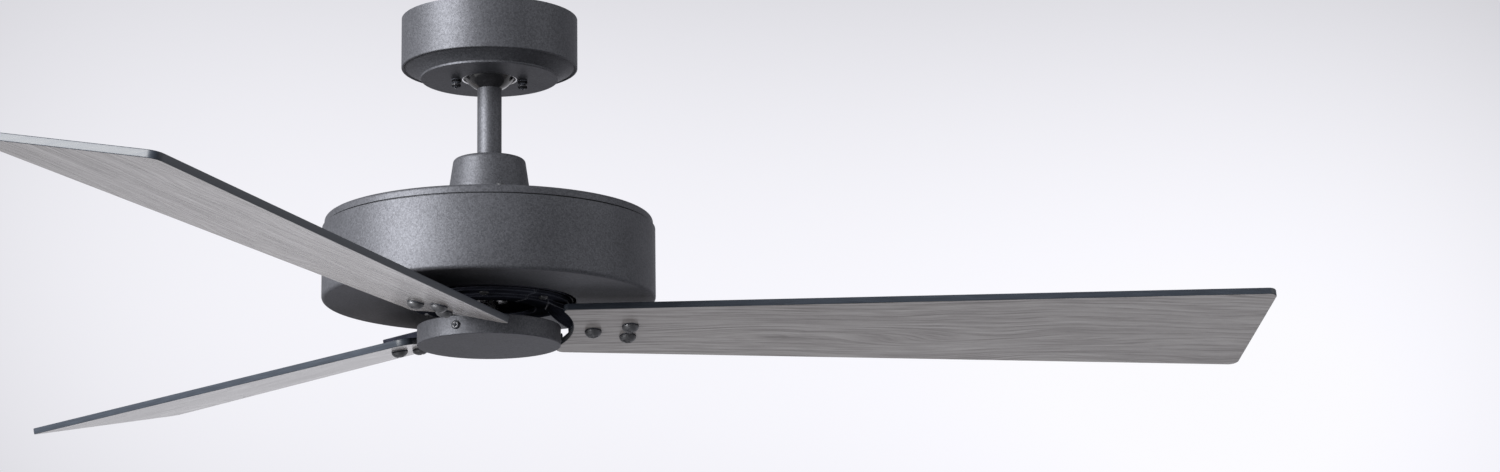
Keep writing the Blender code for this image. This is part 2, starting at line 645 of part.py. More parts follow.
def build_clevis_pin(hung):
    """The headed pin through collar and rod, and the spring clip through the pin's far end."""
    head = 0.0020
    start = COLLAR_RADIUS + FIT
    reach = COLLAR_RADIUS + 0.0070
    profile = [(0.0, start + head), (CLEVIS_PIN_HEAD_RADIUS, start + head), (CLEVIS_PIN_HEAD_RADIUS, start),
               (CLEVIS_PIN_RADIUS, start), (CLEVIS_PIN_RADIUS, -reach), (0.0, -reach)]
    pin = turned_solid("clevis_pin", profile, STEPS_SCREW, hung, BRIGHT_STEEL)
    pin.matrix_world = Matrix.Translation((0, 0, CLEVIS_PIN_Z)) @ Matrix.Rotation(math.pi / 2, 4, "Y")
    clip_x = -(COLLAR_RADIUS + 0.0035)
    hole = 0.0012
    carve(pin, round_cutter("pin_clip_hole", (clip_x, 0, CLEVIS_PIN_Z - 0.006), (clip_x, 0, CLEVIS_PIN_Z + 0.006),
                            hole, 8))
    wire = bpy.data.curves.new("clevis_clip", "CURVE")
    wire.dimensions = "3D"
    wire.bevel_depth = CLIP_WIRE_RADIUS
    wire.bevel_resolution = 1
    wire.use_fill_caps = True
    leg = 0.0085
    bow = CLEVIS_PIN_RADIUS + CLIP_WIRE_RADIUS + FIT
    route = [(0.0, -leg), (0.0, leg * 0.8)]
    for k in range(1, 6):
        a = math.pi * k / 6
        route.append((bow / 2 * (1 - math.cos(a)), leg * 0.8 + bow / 2 * math.sin(a)))
    route += [(bow, leg * 0.6), (bow + 0.0006, 0.0), (bow, -leg * 0.5), (bow + 0.0010, -leg * 0.8)]
    spline = wire.splines.new("POLY")
    spline.points.add(len(route) - 1)
    for point, (y, z) in zip(spline.points, route):
        point.co = (clip_x, y, CLEVIS_PIN_Z + z, 1.0)
    add("clevis_clip", wire, hung, BRIGHT_STEEL)


def build_coupling_cover(cover_frame):
    """The tapered bell that rests on the lid round the coupling and slides up the rod."""
    base = LID_TOP + FIT
    top = base + COVER_HEIGHT
    slope = (COVER_BASE_RADIUS - COVER_TOP_RADIUS) / COVER_HEIGHT
    side = COVER_TOP_RADIUS + slope * COVER_ROUND
    hole = ROD_RADIUS + RUNNING_FIT
    outside = [(hole, top)] + arc(side - COVER_ROUND, top - COVER_ROUND, COVER_ROUND, 90, 0, 4)
    outside.append((COVER_BASE_RADIUS, base))
    inside = [(COVER_BASE_RADIUS - COVER_SHEET, base), (side - COVER_SHEET, top - COVER_ROUND),
              (side - COVER_ROUND, top - COVER_SHEET), (hole, top - COVER_SHEET)]
    turned("coupling_cover", outside + inside, STEPS_LARGE, cover_frame, COAT)


def build_housing(hung):
    """The drum: a lid over a shell whose rim ledge it sits on, open underneath round the rotor."""
    skirt_inner = LID_RADIUS - HOUSING_SHEET - FIT * 0.5
    joggle = skirt_inner - FIT
    hole = COLLAR_RADIUS + RUNNING_FIT
    lid_profile = [(hole, LID_TOP)] + arc(LID_RADIUS - LID_ROUND, LID_TOP - LID_ROUND, LID_ROUND, 90, 0, 3)
    lid_profile += [(LID_RADIUS, SEAM_TOP), (skirt_inner, SEAM_TOP), (skirt_inner, LID_UNDER), (hole, LID_UNDER)]
    lid = turned("housing_lid", lid_profile, STEPS_LARGE, hung, COAT)
    ledge_top = LID_UNDER - FIT
    ledge_inner = joggle - HOUSING_LEDGE_WIDTH
    wall_inner = HOUSING_RADIUS - HOUSING_SHEET
    edge = 0.0008
    shell_profile = [(ledge_inner, ledge_top), (joggle, ledge_top), (joggle, SHELL_SHOULDER),
                     (HOUSING_RADIUS - edge, SHELL_SHOULDER), (HOUSING_RADIUS, SHELL_SHOULDER - edge)]
    shell_profile += arc(HOUSING_RADIUS - HOUSING_ROUND, SHELL_BOTTOM + HOUSING_ROUND, HOUSING_ROUND, 0, -90, 3)
    floor = SHELL_BOTTOM + HOUSING_SHEET
    bend = HOUSING_ROUND - HOUSING_SHEET
    lip = HOUSING_OPENING_RADIUS + HOUSING_SHEET
    shell_profile += [(HOUSING_OPENING_RADIUS, SHELL_BOTTOM), (HOUSING_OPENING_RADIUS, SHELL_BOTTOM + HOUSING_LIP_HEIGHT),
                      (lip, SHELL_BOTTOM + HOUSING_LIP_HEIGHT), (lip, floor)]
    shell_profile += arc(wall_inner - bend, floor + bend, bend, -90, 0, 2)
    shell_profile += [(wall_inner, SHELL_SHOULDER - HOUSING_SHEET),
                      (joggle - HOUSING_SHEET, SHELL_SHOULDER - HOUSING_SHEET),
                      (joggle - HOUSING_SHEET, ledge_top - HOUSING_SHEET), (ledge_inner, ledge_top - HOUSING_SHEET)]
    shell = turned("housing_shell", shell_profile, STEPS_LARGE, hung, COAT)
    head = (M4_HEAD_RADIUS, M4_HEAD_HEIGHT)
    for number in range(3):
        turn = math.radians(90 + 120 * number)
        x, y, z = around(LID_SCREW_REACH, turn, LID_TOP)
        carve(lid, round_cutter(f"lid_hole_{number + 1}", (x, y, z + 0.002), (x, y, LID_UNDER - 0.002), M4_RADIUS + FIT))
        screw(f"lid_screw_{number + 1}", (x, y, z + FIT), (0, 0, 1), head, M4_RADIUS,
              LID_TOP - FLANGE_UNDER + FIT, hung, STEEL)
        turn = math.radians(30 + 120 * number)
        x, y, z = around(HOUSING_SCREW_REACH, turn, LID_TOP)
        carve(lid, round_cutter(f"lid_rim_hole_{number + 1}", (x, y, z + 0.002), (x, y, LID_UNDER - 0.001), M4_RADIUS + FIT))
        carve(shell, round_cutter(f"shell_ledge_hole_{number + 1}", (x, y, ledge_top + 0.001),
                                  (x, y, ledge_top - HOUSING_SHEET - 0.001), M4_RADIUS + FIT))
        screw(f"housing_screw_{number + 1}", (x, y, z + FIT), (0, 0, 1), head, M4_RADIUS,
              LID_SHEET + HOUSING_SHEET + 0.0030, hung, DARK_SCREW)


def stator_outline():
    """Teeth round the lamination stack, with open slots between them."""
    pitch = math.tau / STATOR_TEETH
    half_slot = pitch * STATOR_SLOT_SHARE / 2
    points = []
    for tooth in range(STATOR_TEETH):
        middle = pitch * tooth
        half_tooth = pitch / 2 - half_slot
        for share in (-1.0, -0.33, 0.33, 1.0):
            points.append(around(STATOR_RADIUS, middle + half_tooth * share, 0)[:2])
        root_half = half_tooth * STATOR_RADIUS / STATOR_ROOT_RADIUS * 0.62
        points.append(around(STATOR_ROOT_RADIUS, middle + root_half, 0)[:2])
        points.append(around(STATOR_ROOT_RADIUS, middle + pitch - root_half, 0)[:2])
    return points


def build_stator(hung):
    """The fixed half of the motor: hollow shaft, laminations, end turns, driver board and bearings."""
    profile = [(SHAFT_RADIUS, SHAFT_TOP), (SHAFT_RADIUS, SHAFT_SHOULDER), (SHAFT_END_RADIUS, SHAFT_SHOULDER),
               (SHAFT_END_RADIUS, SHAFT_BOTTOM), (SHAFT_BORE_RADIUS, SHAFT_BOTTOM), (SHAFT_BORE_RADIUS, SHAFT_TOP)]
    shaft = turned("motor_shaft", profile, STEPS_SMALL, hung, BRIGHT_STEEL)
    carve(shaft, round_cutter("shaft_lead_hole", (0, 0.002, LEAD_EXIT_Z), (0, SHAFT_RADIUS + 0.002, LEAD_EXIT_Z),
                              LEAD_HOLE_RADIUS))
    hole = circle_points((0, 0), SHAFT_RADIUS + FIT, STEPS_SMALL)
    add("stator_core", plate_mesh("stator_core", [stator_outline(), hole], STATOR_BOTTOM, STATOR_TOP), hung, STEEL)
    middle = (WINDING_INNER_RADIUS + WINDING_OUTER_RADIUS) / 2
    half = (WINDING_OUTER_RADIUS - WINDING_INNER_RADIUS) / 2
    for name, low, high in (("winding_upper", STATOR_TOP + FIT, STATOR_TOP + FIT + WINDING_HEIGHT),
                            ("winding_lower", STATOR_BOTTOM - FIT - WINDING_HEIGHT, STATOR_BOTTOM - FIT)):
        centre = (low + high) / 2
        ring = [(middle + half * math.copysign(abs(math.cos(a)) ** 0.5, math.cos(a)),
                 centre - WINDING_HEIGHT / 2 * math.copysign(abs(math.sin(a)) ** 0.5, math.sin(a)))
                for a in (math.radians(-67.5 + 45 * k) for k in range(8))]
        turned(name, ring, STEPS_CORE, hung, COPPER)
    ring = tube_profile(BOARD_INNER_RADIUS, BOARD_OUTER_RADIUS, STATOR_TOP + FIT + BOARD_THICKNESS, STATOR_TOP + FIT)
    turned("driver_board", ring, STEPS_CORE, hung, BOARD_GREEN)
    for name, low in (("lower_bearing", LOWER_BEARING_BOTTOM), ("upper_bearing", UPPER_BEARING_BOTTOM)):
        groove = 0.0008
        inner, outer = SHAFT_RADIUS + FIT, BEARING_RADIUS
        race = (outer - inner) * 0.28
        high = low + BEARING_WIDTH
        ring = [(outer, high), (outer, low), (outer - race, low), (outer - race, low + groove),
                (inner + race, low + groove), (inner + race, low), (inner, low), (inner, high),
                (inner + race, high), (inner + race, high - groove), (outer - race, high - groove), (outer - race, high)]
        turned(name, ring, STEPS_SMALL, hung, BRIGHT_STEEL)


def build_rotor(rotor):
    """The turning half of the motor: two shells round the stator, with the magnet ring between them."""
    inner = ROTOR_RADIUS - ROTOR_WALL
    seat = BEARING_RADIUS + RUNNING_FIT
    boss = seat + BEARING_BOSS_WALL
    rim_under = ROTOR_BOTTOM + ROTOR_HUB_STEP
    base = [(ROTOR_RADIUS, ROTOR_SPLIT)]
    base += arc(ROTOR_RADIUS - ROTOR_ROUND, rim_under + ROTOR_ROUND, ROTOR_ROUND, 0, -90, 2)
    base += [(ROTOR_HUB_RADIUS, rim_under), (ROTOR_HUB_RADIUS, ROTOR_BOTTOM), (BEARING_LIP_RADIUS, ROTOR_BOTTOM),
             (BEARING_LIP_RADIUS, ROTOR_BOTTOM + BEARING_LIP), (seat, ROTOR_BOTTOM + BEARING_LIP),
             (seat, LOWER_BEARING_BOTTOM + BEARING_WIDTH), (boss, LOWER_BEARING_BOTTOM + BEARING_WIDTH),
             (boss, ROTOR_BOTTOM + ROTOR_PLATE), (ROTOR_HUB_RADIUS - ROTOR_PLATE, ROTOR_BOTTOM + ROTOR_PLATE),
             (ROTOR_HUB_RADIUS - ROTOR_PLATE, rim_under + ROTOR_PLATE), (inner - 0.004, rim_under + ROTOR_PLATE),
             (inner, rim_under + ROTOR_PLATE + 0.004), (inner, ROTOR_SPLIT)]
    shell = turned("rotor_base", base, STEPS_INSIDE, rotor, BLACK_CASTING)
    for blade in range(BLADE_COUNT):
        for number, angle in enumerate(IRON_SCREW_ANGLES, start=1):
            x, y, z = around(IRON_SCREW_REACH, math.tau * blade / BLADE_COUNT + angle, ROTOR_BOTTOM)
            carve(shell, round_cutter(f"rotor_screw_hole_{blade + 1}_{number}", (x, y, z - 0.002),
                                      (x, y, z + ROTOR_PLATE + 0.002), M4_RADIUS + FIT))
    low = ROTOR_SPLIT + FIT
    under = ROTOR_PLATE_TOP - ROTOR_WALL
    hub_top = UPPER_BEARING_TOP + FIT + BEARING_LIP
    cover = [(BEARING_LIP_RADIUS, hub_top), (boss, hub_top), (boss, ROTOR_PLATE_TOP)]
    cover += arc(ROTOR_RADIUS - ROTOR_ROUND, ROTOR_PLATE_TOP - ROTOR_ROUND, ROTOR_ROUND, 90, 0, 2)
    cover += [(ROTOR_RADIUS, low), (inner, low), (inner, under - 0.004), (inner - 0.004, under), (boss, under),
              (boss, BOSS_UNDER), (seat, BOSS_UNDER), (seat, UPPER_BEARING_TOP + FIT),
              (BEARING_LIP_RADIUS, UPPER_BEARING_TOP + FIT)]
    turned("rotor_cover", cover, STEPS_INSIDE, rotor, BLACK_CASTING)
    middle = (STATOR_BOTTOM + STATOR_TOP) / 2
    magnet = tube_profile(STATOR_RADIUS + AIR_GAP, inner - FIT, middle + MAGNET_HEIGHT / 2, middle - MAGNET_HEIGHT / 2)
    turned("magnet_ring", magnet, STEPS_INSIDE, rotor, FERRITE)


def ring_segment_mesh(name, profile, half_angle, count):
    """A closed profile swept round the axis, centred on +X, with both ends cut to leave an even split."""
    trim = IRON_SPLIT / 2
    sides = len(profile)
    points, faces = [], []
    for k in range(count + 1):
        for radius, z in profile:
            a = (2 * k / count - 1) * (half_angle - math.asin(trim / radius))
            points.append((radius * math.cos(a), radius * math.sin(a), z))
    for k in range(count):
        for n in range(sides):
            m = (n + 1) % sides
            faces.append((k * sides + n, k * sides + m, (k + 1) * sides + m, (k + 1) * sides + n))
    faces.append(tuple(range(sides - 1, -1, -1)))
    faces.append(tuple(count * sides + n for n in range(sides)))
    made = bpy.data.meshes.new(name)
    made.from_pydata(points, [], faces)
    return made


def blade_matrix():
    """The frame of the first blade: raised towards its tip, then pitched about its own length."""
    return (Matrix.Translation((0, 0, BLADE_PLANE)) @ Matrix.Rotation(-BLADE_RISE, 4, "Y")
            @ Matrix.Rotation(-BLADE_PITCH, 4, "X"))


def iron_pad_outline(inset):
    """The pad on the blade's top face: hollow end towards the axis, rounded corners at the far end."""
    half = IRON_PAD_HALF_WIDTH - inset
    end = IRON_PAD_END_REACH - inset
    start = IRON_PAD_START_RADIUS + inset
    points = []
    spread = math.asin(half / start)
    count = 6
    for k in range(count + 1):
        a = spread * (1 - 2 * k / count)
        points.append((start * math.cos(a), start * math.sin(a)))
    near, far = points[-1], points[0]
    one, two = (end, -half), (end, half)
    radius = 0.0060 - inset
    points += rounded_corner(near, one, two, radius) + rounded_corner(one, two, far, radius)
    return points


def blade_screw_places():
    return [(BLADE_SCREW_INNER_REACH, BLADE_SCREW_SHIFT),
            (BLADE_SCREW_OUTER_REACH, BLADE_SCREW_SHIFT - BLADE_SCREW_SPREAD),
            (BLADE_SCREW_OUTER_REACH, BLADE_SCREW_SHIFT + BLADE_SCREW_SPREAD)]


def arm_mesh(matrix):
    """The swept arm of an iron, lofted from the ring's level section over a pitched one to the pad's."""
    inset = 0.0004
    thick = IRON_RING_THICKNESS - 2 * inset
    low = ROTOR_BOTTOM - IRON_RING_DROP - FIT + inset
    reach, right, left = IRON_ARM_START
    points = [Vector((reach, y, z)) for y in (right, left) for z in (low, low + thick)]
    pad_low = BLADE_THICKNESS + FIT + inset
    pad_high = pad_low + IRON_PAD_THICKNESS - 2 * inset
    middle = IRON_ARM_MIDDLE_HEIGHT
    for (reach, right, left), bottom, top in ((IRON_ARM_MIDDLE, middle, middle + thick * 1.4),
                                              (IRON_ARM_END, pad_low, pad_high)):
        points += [matrix @ Vector((reach, y, z)) for y in (right, left) for z in (bottom, top)]
    mesh = bpy.data.meshes.new("iron_arm")
    faces = [(0, 1, 3), (0, 3, 2), (8, 10, 11), (8, 11, 9)]
    for n in (0, 4):
        for a, b, c, d in ((0, 4, 5, 1), (2, 3, 7, 6), (0, 2, 6, 4), (1, 5, 7, 3)):
            faces += [(a + n, b + n, c + n), (a + n, c + n, d + n)]
    mesh.from_pydata(points, [], faces)
    return mesh


def iron_mesh():
    """One blade iron: two stepped ring segments under the rotor, the arm, and the rimmed pad."""
    half_angle = math.pi / BLADE_COUNT
    low = ROTOR_BOTTOM - FIT
    ring_low = low - IRON_RING_DROP
    flange_low = low - IRON_FLANGE_THICKNESS
    ring_top = ring_low + IRON_RING_THICKNESS
    profile = [(IRON_FLANGE_RADIUS, low), (IRON_FLANGE_RADIUS, flange_low), (IRON_RING_RADIUS, flange_low),
               (IRON_RING_RADIUS, ring_low), (IRON_RING_INNER_RADIUS, ring_low), (IRON_RING_INNER_RADIUS, ring_top),
               (IRON_FLANGE_INNER_RADIUS, ring_top), (IRON_FLANGE_INNER_RADIUS, low)]
    iron = link_plain("iron_whole", ring_segment_mesh("iron_ring", profile, half_angle, 14))
    for number, angle in enumerate(IRON_SCREW_ANGLES, start=1):
        x, y, _ = around(IRON_SCREW_REACH, angle, 0)
        carve(iron, round_cutter(f"iron_screw_hole_{number}", (x, y, flange_low - 0.002), (x, y, low + 0.002),
                                 M4_RADIUS + FIT))
    matrix = blade_matrix()
    pad_low = BLADE_THICKNESS + FIT
    holes = [circle_points(place, BLADE_SCREW_RADIUS + FIT, 10) for place in blade_screw_places()]
    pad = plate_mesh("iron_pad", [iron_pad_outline(0.0)] + holes, pad_low, pad_low + IRON_PAD_THICKNESS, matrix)
    pocket = plate_mesh("iron_pocket", [iron_pad_outline(IRON_RIM)], pad_low + IRON_PAD_FLOOR,
                        pad_low + IRON_PAD_THICKNESS + 0.002, matrix)
    fuse(iron, as_guide(link_plain("iron_arm", arm_mesh(matrix))))
    pad_guide = as_guide(link_plain("iron_pad", pad))
    carve(pad_guide, as_guide(link_plain("iron_pocket", pocket)))
    fuse(iron, pad_guide)
    return mesh_of(iron, Matrix.Identity(4))


def build_irons(rotor):
    mesh = iron_mesh()
    flange_under = ROTOR_BOTTOM - FIT - IRON_FLANGE_THICKNESS
    for blade in range(BLADE_COUNT):
        spin = math.tau * blade / BLADE_COUNT
        iron = add(f"blade_iron_{blade + 1}", mesh.copy(), rotor, BLACK_CASTING)
        iron.matrix_world = Matrix.Rotation(spin, 4, "Z")
        for number, angle in enumerate(IRON_SCREW_ANGLES, start=1):
            at = around(IRON_SCREW_REACH, spin + angle, flange_under - FIT)
            screw(f"iron_screw_{blade + 1}_{number}", at, (0, 0, -1), (M4_HEAD_RADIUS, M4_HEAD_HEIGHT), M4_RADIUS,
                  IRON_FLANGE_THICKNESS + FIT * 2 + ROTOR_PLATE, rotor, DARK_SCREW)


def blade_width(reach):
    share = (reach - BLADE_ROOT_WIDTH_REACH) / (BLADE_TIP_REACH - BLADE_ROOT_WIDTH_REACH)
    return BLADE_ROOT_WIDTH + (BLADE_TIP_WIDTH - BLADE_ROOT_WIDTH) * share


def blade_outline():
    """Hollow root round the axis, straight edges that widen to the tip, raked tip with round corners."""
    def edge(reach, side):
        return (reach, BLADE_SIDE_SHIFT + side * blade_width(reach) / 2)

    def root_corner(side, radius):
        """The round from the hollow root to a long edge, as points from the root outwards."""
        base = Vector(edge(0.0, side))
        along = (Vector(edge(1.0, side)) - base).normalized()
        inwards = Vector((along.y, -along.x)) * side
        line = base + inwards * radius
        reach = -line.dot(along) + math.sqrt(line.dot(along) ** 2 - line.length_squared
                                             + (BLADE_ROOT_RADIUS + radius) ** 2)
        centre = line + along * reach
        start, end = -centre.normalized(), -inwards
        sweep = start.angle_signed(end)
        return [centre + radius * (Matrix.Rotation(-sweep * k / 4, 2) @ start) for k in range(5)]

    first, last = (root_corner(side, radius) for side, radius in zip((1, -1), BLADE_ROOT_ROUNDS))
    start, end = (math.atan2(corner[0].y, corner[0].x) for corner in (first, last))
    count = 10
    points = [tuple(point) for point in reversed(first)]
    for k in range(1, count):
        a = start + (end - start) * k / count
        points.append((BLADE_ROOT_RADIUS * math.cos(a), BLADE_ROOT_RADIUS * math.sin(a)))
    points += [tuple(point) for point in last]
    rake = math.tan(BLADE_TIP_RAKE) * BLADE_TIP_WIDTH / 2
    one, two = edge(BLADE_TIP_REACH - rake, -1), edge(BLADE_TIP_REACH + rake, 1)
    points += rounded_corner(points[-1], one, two, BLADE_TIP_ROUND)
    points += rounded_corner(one, two, points[0], BLADE_TIP_ROUND)
    return points


def build_blades(rotor):
    holes = [circle_points(place, BLADE_SCREW_RADIUS + FIT, 10) for place in blade_screw_places()]
    mesh = plate_mesh("blade", [blade_outline()] + holes, 0.0, BLADE_THICKNESS)
    head = (BLADE_SCREW_HEAD_RADIUS, BLADE_SCREW_HEAD_HEIGHT)
    for number in range(BLADE_COUNT):
        matrix = Matrix.Rotation(math.tau * number / BLADE_COUNT, 4, "Z") @ blade_matrix()
        blade = add(f"blade_{number + 1}", mesh.copy(), rotor, WOOD)
        blade.matrix_world = matrix
        for place, (x, y) in enumerate(blade_screw_places(), start=1):
            fixing = screw(f"blade_screw_{number + 1}_{place}", (0, 0, 0), (0, 0, 1), head, BLADE_SCREW_RADIUS,
                           BLADE_THICKNESS + FIT * 2 + IRON_PAD_FLOOR + 0.0008, rotor, DARK_SCREW,
                           form=domed_head)
            fixing.matrix_world = matrix @ Matrix.Translation((x, y, -FIT)) @ Matrix.Rotation(math.pi, 4, "X")


def build_cup(hung):
    """The bottom cup on its plate, which a nut holds to the shaft's end."""
    inner = CUP_RADIUS - CUP_SHEET
    floor = CUP_BOTTOM + CUP_SHEET
    cup_profile = [(CUP_RADIUS, CUP_TOP)]
    cup_profile += arc(CUP_RADIUS - CUP_ROUND, CUP_BOTTOM + CUP_ROUND, CUP_ROUND, 0, -90, 2)
    cup_profile += [(0.0, CUP_BOTTOM)]
    cup_profile = [(0.0, floor), (inner, floor), (inner, CUP_TOP)] + cup_profile
    cup = turned_solid("bottom_cup", cup_profile, STEPS_LARGE, hung, COAT)
    rim = inner - FIT
    plate_under = PLATE_TOP - CUP_PLATE_SHEET
    plate = turned("cup_plate", tube_profile(SHAFT_END_RADIUS + FIT, rim, PLATE_TOP, plate_under), STEPS_INSIDE,
                   hung, BLACK_CASTING)
    tab_outer = math.sqrt(rim ** 2 - CUP_TAB_HALF_WIDTH ** 2) - FIT
    for number in range(3):
        turn = math.tau * number / 3 + CUP_SCREW_TURN
        tab = box_cutter(f"cup_plate_tab_{number + 1}",
                         (tab_outer - CUP_PLATE_SHEET, -CUP_TAB_HALF_WIDTH, PLATE_TOP - CUP_TAB_LENGTH),
                         (tab_outer, CUP_TAB_HALF_WIDTH, PLATE_TOP - CUP_PLATE_SHEET / 2))
        tab.matrix_world = Matrix.Rotation(turn, 4, "Z")
        fuse(plate, tab)
        z = CUP_TOP - CUP_SCREW_DROP
        start, end = around(CUP_RADIUS + 0.003, turn, z), around(rim - CUP_PLATE_SHEET - 0.003, turn, z)
        cutter = round_cutter(f"cup_screw_hole_{number + 1}", start, end, M4_RADIUS + FIT)
        carve(cup, cutter)
        carve(plate, cutter)
        screw(f"cup_screw_{number + 1}", around(CUP_RADIUS + FIT, turn, z), around(1.0, turn, 0.0),
              (CUP_SCREW_HEAD_RADIUS, M4_HEAD_HEIGHT), M4_RADIUS, CUP_SHEET + CUP_PLATE_SHEET + FIT * 2 + 0.0030,
              hung, DARK_SCREW, form=domed_head)
    nut_top = PLATE_TOP - CUP_PLATE_SHEET - FIT
    corners = [around(NUT_FLATS / math.sqrt(3), math.tau * k / 6, 0)[:2] for k in range(6)]
    bore = circle_points((0, 0), SHAFT_END_RADIUS + FIT, STEPS_SMALL)
    add("shaft_nut", plate_mesh("shaft_nut", [corners, bore], nut_top - NUT_HEIGHT, nut_top), hung, STEEL)


LEAD_EXIT_Z = STATOR_TOP + FIT + LEAD_RADIUS + 0.0001


def lead_route():
    """From the plug down the rod beside the cross pins, into the shaft's bore, and out to the board."""
    side = LEAD_SIDE_SHIFT
    lower = BLADE_PLANE - BLADE_PLANE + LEAD_EXIT_Z + LEAD_BEND
    points = [(side, ROD_TOP), (side, BALL_Z), (side, (BALL_Z + CLEVIS_PIN_Z) / 2), (side, CLEVIS_PIN_Z - 0.006)]
    entry = SHAFT_TOP - 0.002
    start = CLEVIS_PIN_Z - 0.006
    count = 6
    for k in range(1, count + 1):
        share = k / count
        ease = share * share * (3 - 2 * share)
        points.append((side + (-LEAD_BORE_SHIFT - side) * ease, start + (entry - start) * share))
    points.append((-LEAD_BORE_SHIFT, (entry + lower) / 2))
    for k in range(0, 7):
        a = math.pi / 2 * k / 6
        points.append((-LEAD_BORE_SHIFT + LEAD_BEND * (1 - math.cos(a)), lower - LEAD_BEND * math.sin(a)))
    points.append((BOARD_INNER_RADIUS - FIT, LEAD_EXIT_Z))
    return points


def build_lead(hung):
    """The motor lead that the rod and shaft hold all the way, and its plug at the rod's top."""
    cable = bpy.data.curves.new("motor_lead", "CURVE")
    cable.dimensions = "3D"
    cable.bevel_depth = LEAD_RADIUS
    cable.bevel_resolution = 1
    cable.use_fill_caps = True
    route = lead_route()
    spline = cable.splines.new("POLY")
    spline.points.add(len(route) - 1)
    for point, (y, z) in zip(spline.points, route):
        point.co = (0.0, y, z, 1.0)
    add("motor_lead", cable, hung, LEAD_GREY)
    half = PLUG_WIDTH / 2
    low = ROD_TOP + FIT
    add("lead_plug", box_mesh("lead_plug", (-half, -half, low), (half, half, low + PLUG_HEIGHT)), hung, PLUG_WHITE)


def smooth_parts():
    for made in PARTS.objects:
        if made.type == "MESH":
            if made.modifiers and made.modifiers[0].type == "SCREW":
                made.modifiers[0].use_smooth_shade = True
            else:
                shade_round(made.data)


def main():
    ceiling = frame("ceiling_frame", Matrix.Identity(4))
    swivel = frame("swivel_frame", Matrix.Translation((0, 0, BALL_Z)), ceiling)
    hung = frame("hanging_frame", Matrix.Translation((0, 0, BALL_Z)), swivel)
    cover = frame("cover_frame", Matrix.Translation((0, 0, LID_TOP)), hung)
    rotor = frame("rotor_frame", Matrix.Translation((0, 0, BLADE_PLANE)), hung)
    build_bracket(ceiling)
    build_canopy(ceiling)
    build_ball(hung, swivel)
    build_downrod(hung)
    build_coupling(hung)
    build_coupling_cover(cover)
    build_housing(hung)
    build_stator(hung)
    build_rotor(rotor)
    build_irons(rotor)
    build_blades(rotor)
    build_cup(hung)
    build_lead(hung)
    smooth_parts()


empty_scene()
PARTS = collection("ceiling_fan")
GUIDES = collection("cutters")
main()
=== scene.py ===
"""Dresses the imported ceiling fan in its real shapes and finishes, and lights it in a plain studio.

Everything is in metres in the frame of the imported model: the origin is on the ceiling plane, on the
fan's axis, +Z is up, and the first blade points along +X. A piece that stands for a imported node
repeats that node's sizes, with the rounds, recesses and ribs that the node leaves out.
"""

import logging
import math
from dataclasses import dataclass, field, replace
from enum import Enum
from typing import Any, Sequence

import bmesh
import bpy
import numpy as np
from mathutils import Matrix, Vector


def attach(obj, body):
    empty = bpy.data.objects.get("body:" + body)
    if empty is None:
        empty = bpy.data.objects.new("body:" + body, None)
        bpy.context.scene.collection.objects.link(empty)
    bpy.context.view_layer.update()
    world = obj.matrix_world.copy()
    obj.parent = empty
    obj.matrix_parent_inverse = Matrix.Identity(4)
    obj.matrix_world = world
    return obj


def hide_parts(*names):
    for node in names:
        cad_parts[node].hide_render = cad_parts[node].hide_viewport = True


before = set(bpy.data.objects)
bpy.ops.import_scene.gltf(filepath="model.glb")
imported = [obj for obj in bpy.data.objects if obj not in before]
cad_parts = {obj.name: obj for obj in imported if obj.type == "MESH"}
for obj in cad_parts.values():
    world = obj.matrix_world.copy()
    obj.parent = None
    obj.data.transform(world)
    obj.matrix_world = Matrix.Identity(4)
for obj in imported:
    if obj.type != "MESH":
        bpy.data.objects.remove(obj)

Array = np.ndarray
Colour = tuple[float, float, float]
Corner = tuple[float, float, float]
Hole = tuple[Vector, Vector, float]
Place = Sequence[float]

LOG = logging.getLogger("ceiling_fan")

FIT = 0.0003
THIRD = math.tau / 3
CREASE = 32.0
THREAD_CREASE = 40.0
OVERSHOOT = 0.002
UP = (0, 0, 1)
DOWN = (0, 0, -1)


class Slot(Enum):
    """The record's material slots."""

    GRAPHITE = "graphite_coat"
    IRON = "black_coat"
    CASTING = "black_motor_casting"
    GLOSS_BLACK = "gloss_black"
    STEEL = "plain_steel"
    BRIGHT = "bright_steel"
    SCREW = "dark_screw"
    WOOD = "weathered_wood"
    COPPER = "copper_wire"
    BOARD = "board_green"
    LEAD = "lead_grey"
    PLUG = "plug_white"
    MAGNET = "magnet_grey"


# Shapes


